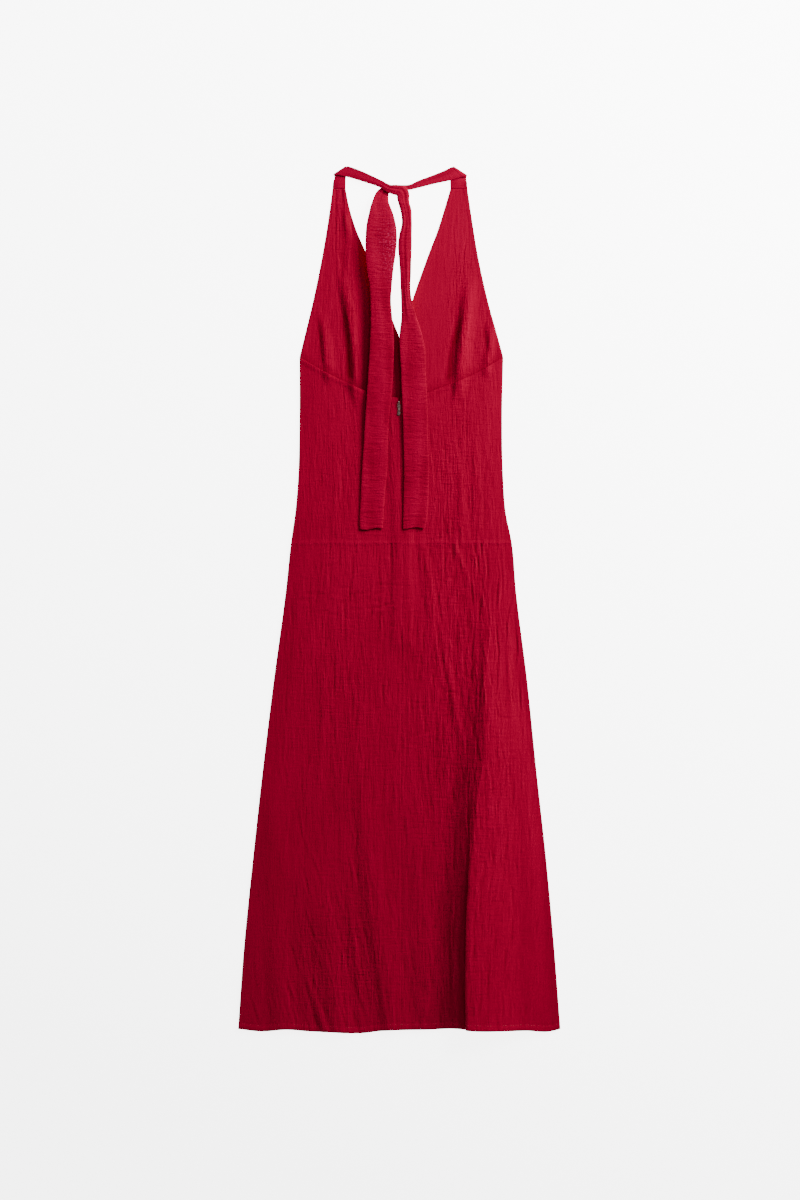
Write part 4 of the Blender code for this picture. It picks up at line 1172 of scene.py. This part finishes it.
# %% Stitch tree
def stitch_tree():
    """Small stitches set evenly along a line, some of them left out."""
    tree = bpy.data.node_groups.new("stitches_along_line", "GeometryNodeTree")
    for label, kind in (("Line", "Geometry"), ("Pitch", "Float"), ("Stitch length", "Float"),
                        ("Thread", "Float"), ("Share", "Float"), ("Seed", "Int"),
                        ("Finish", "Material")):
        tree.interface.new_socket(label, in_out="INPUT", socket_type="NodeSocket" + kind)
    tree.interface.new_socket("Stitches", in_out="OUTPUT", socket_type="NodeSocketGeometry")
    start = tree.nodes.new("NodeGroupInput").outputs
    end = tree.nodes.new("NodeGroupOutput")
    curve = add(tree, "GeometryNodeMeshToCurve", {"Mesh": start["Line"]})
    even = add(tree, "GeometryNodeResampleCurve",
               {"Curve": curve.outputs[0], "Length": start["Pitch"]}, mode="LENGTH")
    ball = add(tree, "GeometryNodeMeshUVSphere", {"Segments": 6, "Rings": 4, "Radius": 0.5})
    size = add(tree, "ShaderNodeCombineXYZ",
               {"X": start["Stitch length"], "Y": start["Thread"], "Z": start["Thread"]})
    stitch = add(tree, "GeometryNodeTransform",
                 {"Geometry": ball.outputs["Mesh"], "Scale": size.outputs[0]})
    tangent = tree.nodes.new("GeometryNodeInputTangent")
    turn = add(tree, "FunctionNodeAlignRotationToVector", {"Vector": tangent.outputs[0]}, axis="X")
    kept = add(tree, "FunctionNodeRandomValue",
               {"Probability": start["Share"], "Seed": start["Seed"]}, data_type="BOOLEAN")
    chosen = [output for output in kept.outputs if output.type == "BOOLEAN"][0]
    copies = add(tree, "GeometryNodeInstanceOnPoints",
                 {"Points": even.outputs[0], "Instance": stitch.outputs[0],
                  "Rotation": turn.outputs[0], "Selection": chosen})
    real = add(tree, "GeometryNodeRealizeInstances", {"Geometry": copies.outputs[0]})
    smooth = add(tree, "GeometryNodeSetShadeSmooth", {"Geometry": real.outputs[0]})
    done = add(tree, "GeometryNodeSetMaterial",
               {"Geometry": smooth.outputs[0], "Material": start["Finish"]})
    tree.links.new(done.outputs[0], end.inputs["Stitches"])
    return tree


STITCHES = stitch_tree()


def stitch_row(name, line, pitch, long, thread, share, seed, finish):
    """Stitches along a line of points in millimetres, as one plain mesh."""
    mesh = bpy.data.meshes.new(name + "_line")
    mesh.from_pydata(to_metres(line).tolist(), [(k, k + 1) for k in range(len(line) - 1)], [])
    host = put(name + "_line", mesh)
    modifier = host.modifiers.new("stitches", "NODES")
    modifier.node_group = STITCHES
    values = {"Pitch": pitch * MM, "Stitch length": long * MM, "Thread": thread * MM,
              "Share": share, "Seed": seed, "Finish": finish}
    for socket in STITCHES.interface.items_tree:
        if socket.in_out == "INPUT" and socket.name in values:
            modifier[socket.identifier] = values[socket.name]
    ready = host.evaluated_get(bpy.context.evaluated_depsgraph_get())
    made = bpy.data.meshes.new_from_object(ready)
    made.name = name
    bpy.data.objects.remove(host, do_unlink=True)
    print(name, len(made.polygons), "faces")
    return put(name, made)


# %% Thread finish and the rows of stitches
def thread_finish(name, colour, dark):
    """Twisted thread: a tone that changes along each stitch and a fine twist in its bump."""
    material, tree, shader = new_material(name)
    place = add(tree, "ShaderNodeTexCoord").outputs["Object"]
    tone = noise(tree, place, 900.0, Detail=2.0)
    twist = add(tree, "ShaderNodeTexWave", {"Vector": place, "Scale": 1200.0, "Distortion": 1.0},
                bands_direction="DIAGONAL").outputs["Fac"]
    feed(tree, shader, {"Base Color": mix_colour(tree, tone, (*colour, 1), (*dark, 1)),
                        "Normal": bump(tree, twist, 0.4, 0.0001), "Roughness": 0.6})
    return material


PINK_THREAD = thread_finish("pink_thread", (0.50, 0.05, 0.075), (0.28, 0.004, 0.02))


def on_back(x, up, above):
    """Points on the back's upper face."""
    height = back_plain(x, up) + soft_folds(FINE_FOLDS, x, up) + crinkle(x, up)
    return np.stack([x + lip_shift(x, up), up, height + above], axis=-1)


def hem_stitches(side, x, seed):
    """The row of stitches that holds one panel's hem."""
    line = on_back(x, back_hem(x) + HEM_FOLD, -0.05)
    return stitch_row("hem_stitches_" + side, line, 4.2, 2.2, 0.5, 0.62, seed, PINK_THREAD)


hem_left_stitches = hem_stitches("left", np.linspace(-258.5, 2.5, 260), 3)
hem_right_stitches = hem_stitches("right", np.linspace(5.0, 258.5, 400), 4)
halter_x = np.array([-101.5, -95.5, -89.5])
halter_stitches = stitch_row("halter_seam_stitches",
                             np.stack([halter_x, np.full(3, 1366.2), np.full(3, 1.75)], axis=-1),
                             10.0, 2.6, 0.7, 1.0, 5, PINK_THREAD)

# %% [markdown]
# ## Zip
# A concealed zip lies behind the back seam: two woven tapes, a fine coil between them, and a
# slider whose bridge and drop-shaped pull come out through the slit at the top. The tapes are
# two thin strips, the coil is set along the seam by the stitch tree, and the slider and pull
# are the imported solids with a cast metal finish.

# %% Tape and coil
ZIP_FOOT = 640.0
ZIP_TOP = 1026.0
# Its darker and lighter colours are the painted shade and painted highlight of its crinkle.
TAPE_FINISH = cloth_finish("zip_tape", (0.22, 0.0, 0.014), (0.10, 0.0, 0.004),
                           (0.28, 0.0, 0.020), TIE_LINES, crinkled=0.1, ribbed=0.8)


def zip_tape(side):
    sign = -1 if side == "left" else 1
    rows = np.concatenate([[ZIP_FOOT, ZIP_FOOT + EDGE], np.linspace(660, 1012, 90),
                           [1014.2, 1014.3], np.linspace(1016, ZIP_TOP - EDGE, 8), [ZIP_TOP]])
    seam = follow(BACK_SEAM, "x", rows)
    near = seam + sign * np.where(rows > 1014.25, 3.4, 0.7)
    far = seam + sign * 9.0
    first, last = (far, near) if side == "left" else (near, far)
    x = framed(first, last, 10, edge=0.3)
    up = np.broadcast_to(rows[:, None], x.shape)
    return cloth_panel("zip_tape_" + side + "_cloth", np.dstack([x, up]),
                       np.full(x.shape, 2.2), 1.55, TAPE_FINISH, thick=0.55)


zip_tape_left = zip_tape("left")
zip_tape_right = zip_tape("right")
coil_up = np.linspace(ZIP_FOOT + 3, 1012, 120)
coil_line = np.stack([follow(BACK_SEAM, "x", coil_up), coil_up, np.full(120, 2.05)], axis=-1)
zip_coil = stitch_row("zip_coil", coil_line, 0.9, 0.55, 0.85, 1.0, 1, PINK_THREAD)


# %% Metal of the slider and pull
def metal_finish(name):
    """Cast and plated metal: faint grains, patches that are rougher or smoother, and painted pink
    glints and dark red-brown reflections in its colour.
    """
    material, tree, shader = new_material(name)
    place = add(tree, "ShaderNodeTexCoord").outputs["Object"]
    grain = noise(tree, place, 2600.0, Detail=3.0)
    marks = noise(tree, place, 420.0, Detail=4.0, Distortion=1.5)
    # Painted reflection: the colour swings between a pink glint and a dark red-brown that stands in
    # for the crimson cloth seen in the metal.
    feed(tree, shader, {
        "Base Color": mix_colour(tree, remap(tree, marks, 0.42, 0.58), (0.95, 0.70, 0.62, 1),
                                 (0.16, 0.05, 0.05, 1)),
        "Roughness": remap(tree, marks, 0.0, 1.0, 0.12, 0.34),
        "Normal": bump(tree, grain, 0.25, 0.00005), "Metallic": 1.0})
    return material


ZIP_METAL = metal_finish("zip_metal")
for node_name in ("zip_slider", "zip_pull"):
    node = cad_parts[node_name]
    node.data.materials.clear()
    node.data.materials.append(ZIP_METAL)


# %% [markdown]
# ## Floor
# A plain pale floor that glows a touch brighter than its light makes it, with painted light that
# grows towards the upper right.

# %% Floor
FLOOR_HALF = 7.0


def floor_finish():
    """Matt floor with a glow, stronger towards the upper right as painted light from the lamp's
    side.
    """
    material, tree, shader = new_material("pale_floor")
    place = add(tree, "ShaderNodeTexCoord").outputs["Object"]
    tone = noise(tree, place, 3.0, Detail=2.0)
    # Painted light: the glow rises from lower left to upper right, where the lamp stands.
    along = add(tree, "ShaderNodeVectorMath", {0: place, 1: (0.8, 1.6, 0.0)},
                operation="DOT_PRODUCT").outputs["Value"]
    feed(tree, shader, {
        "Base Color": mix_colour(tree, tone, (0.90, 0.90, 0.90, 1), (0.86, 0.86, 0.865, 1)),
        "Roughness": 0.9, "Emission Color": (1.0, 1.0, 1.0, 1.0),
        "Emission Strength": remap(tree, along, -1.6, 1.6, 4.9, 7.9)})
    return material


floor_mesh = bpy.data.meshes.new("floor")
floor_mesh.from_pydata([(x * FLOOR_HALF, y * FLOOR_HALF, 0)
                        for x, y in ((-1, -1), (1, -1), (1, 1), (-1, 1))], [], [(0, 1, 2, 3)])
floor_mesh.materials.append(floor_finish())
floor = put("floor", floor_mesh)



def declare(piece, node):
    """Put a cloth piece on the dress's body and hide the solid that it stands for."""
    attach(piece, "dress")
    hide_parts(node)


for row in (hem_left_stitches, hem_right_stitches, halter_stitches, zip_coil):
    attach(row, "dress")
declare(skirt_front, "skirt_front")
declare(skirt_back_left, "skirt_back_left")
declare(skirt_back_right, "skirt_back_right")
declare(bodice_front_left, "bodice_front_left")
declare(bodice_front_right, "bodice_front_right")
declare(bodice_back_left, "bodice_back_left")
declare(bodice_back_right, "bodice_back_right")
declare(neck_tie_left, "neck_tie_left")
declare(neck_tie_right, "neck_tie_right")
for tape in (zip_tape_left, zip_tape_right):
    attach(tape, "dress")
    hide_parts("zip_tape")
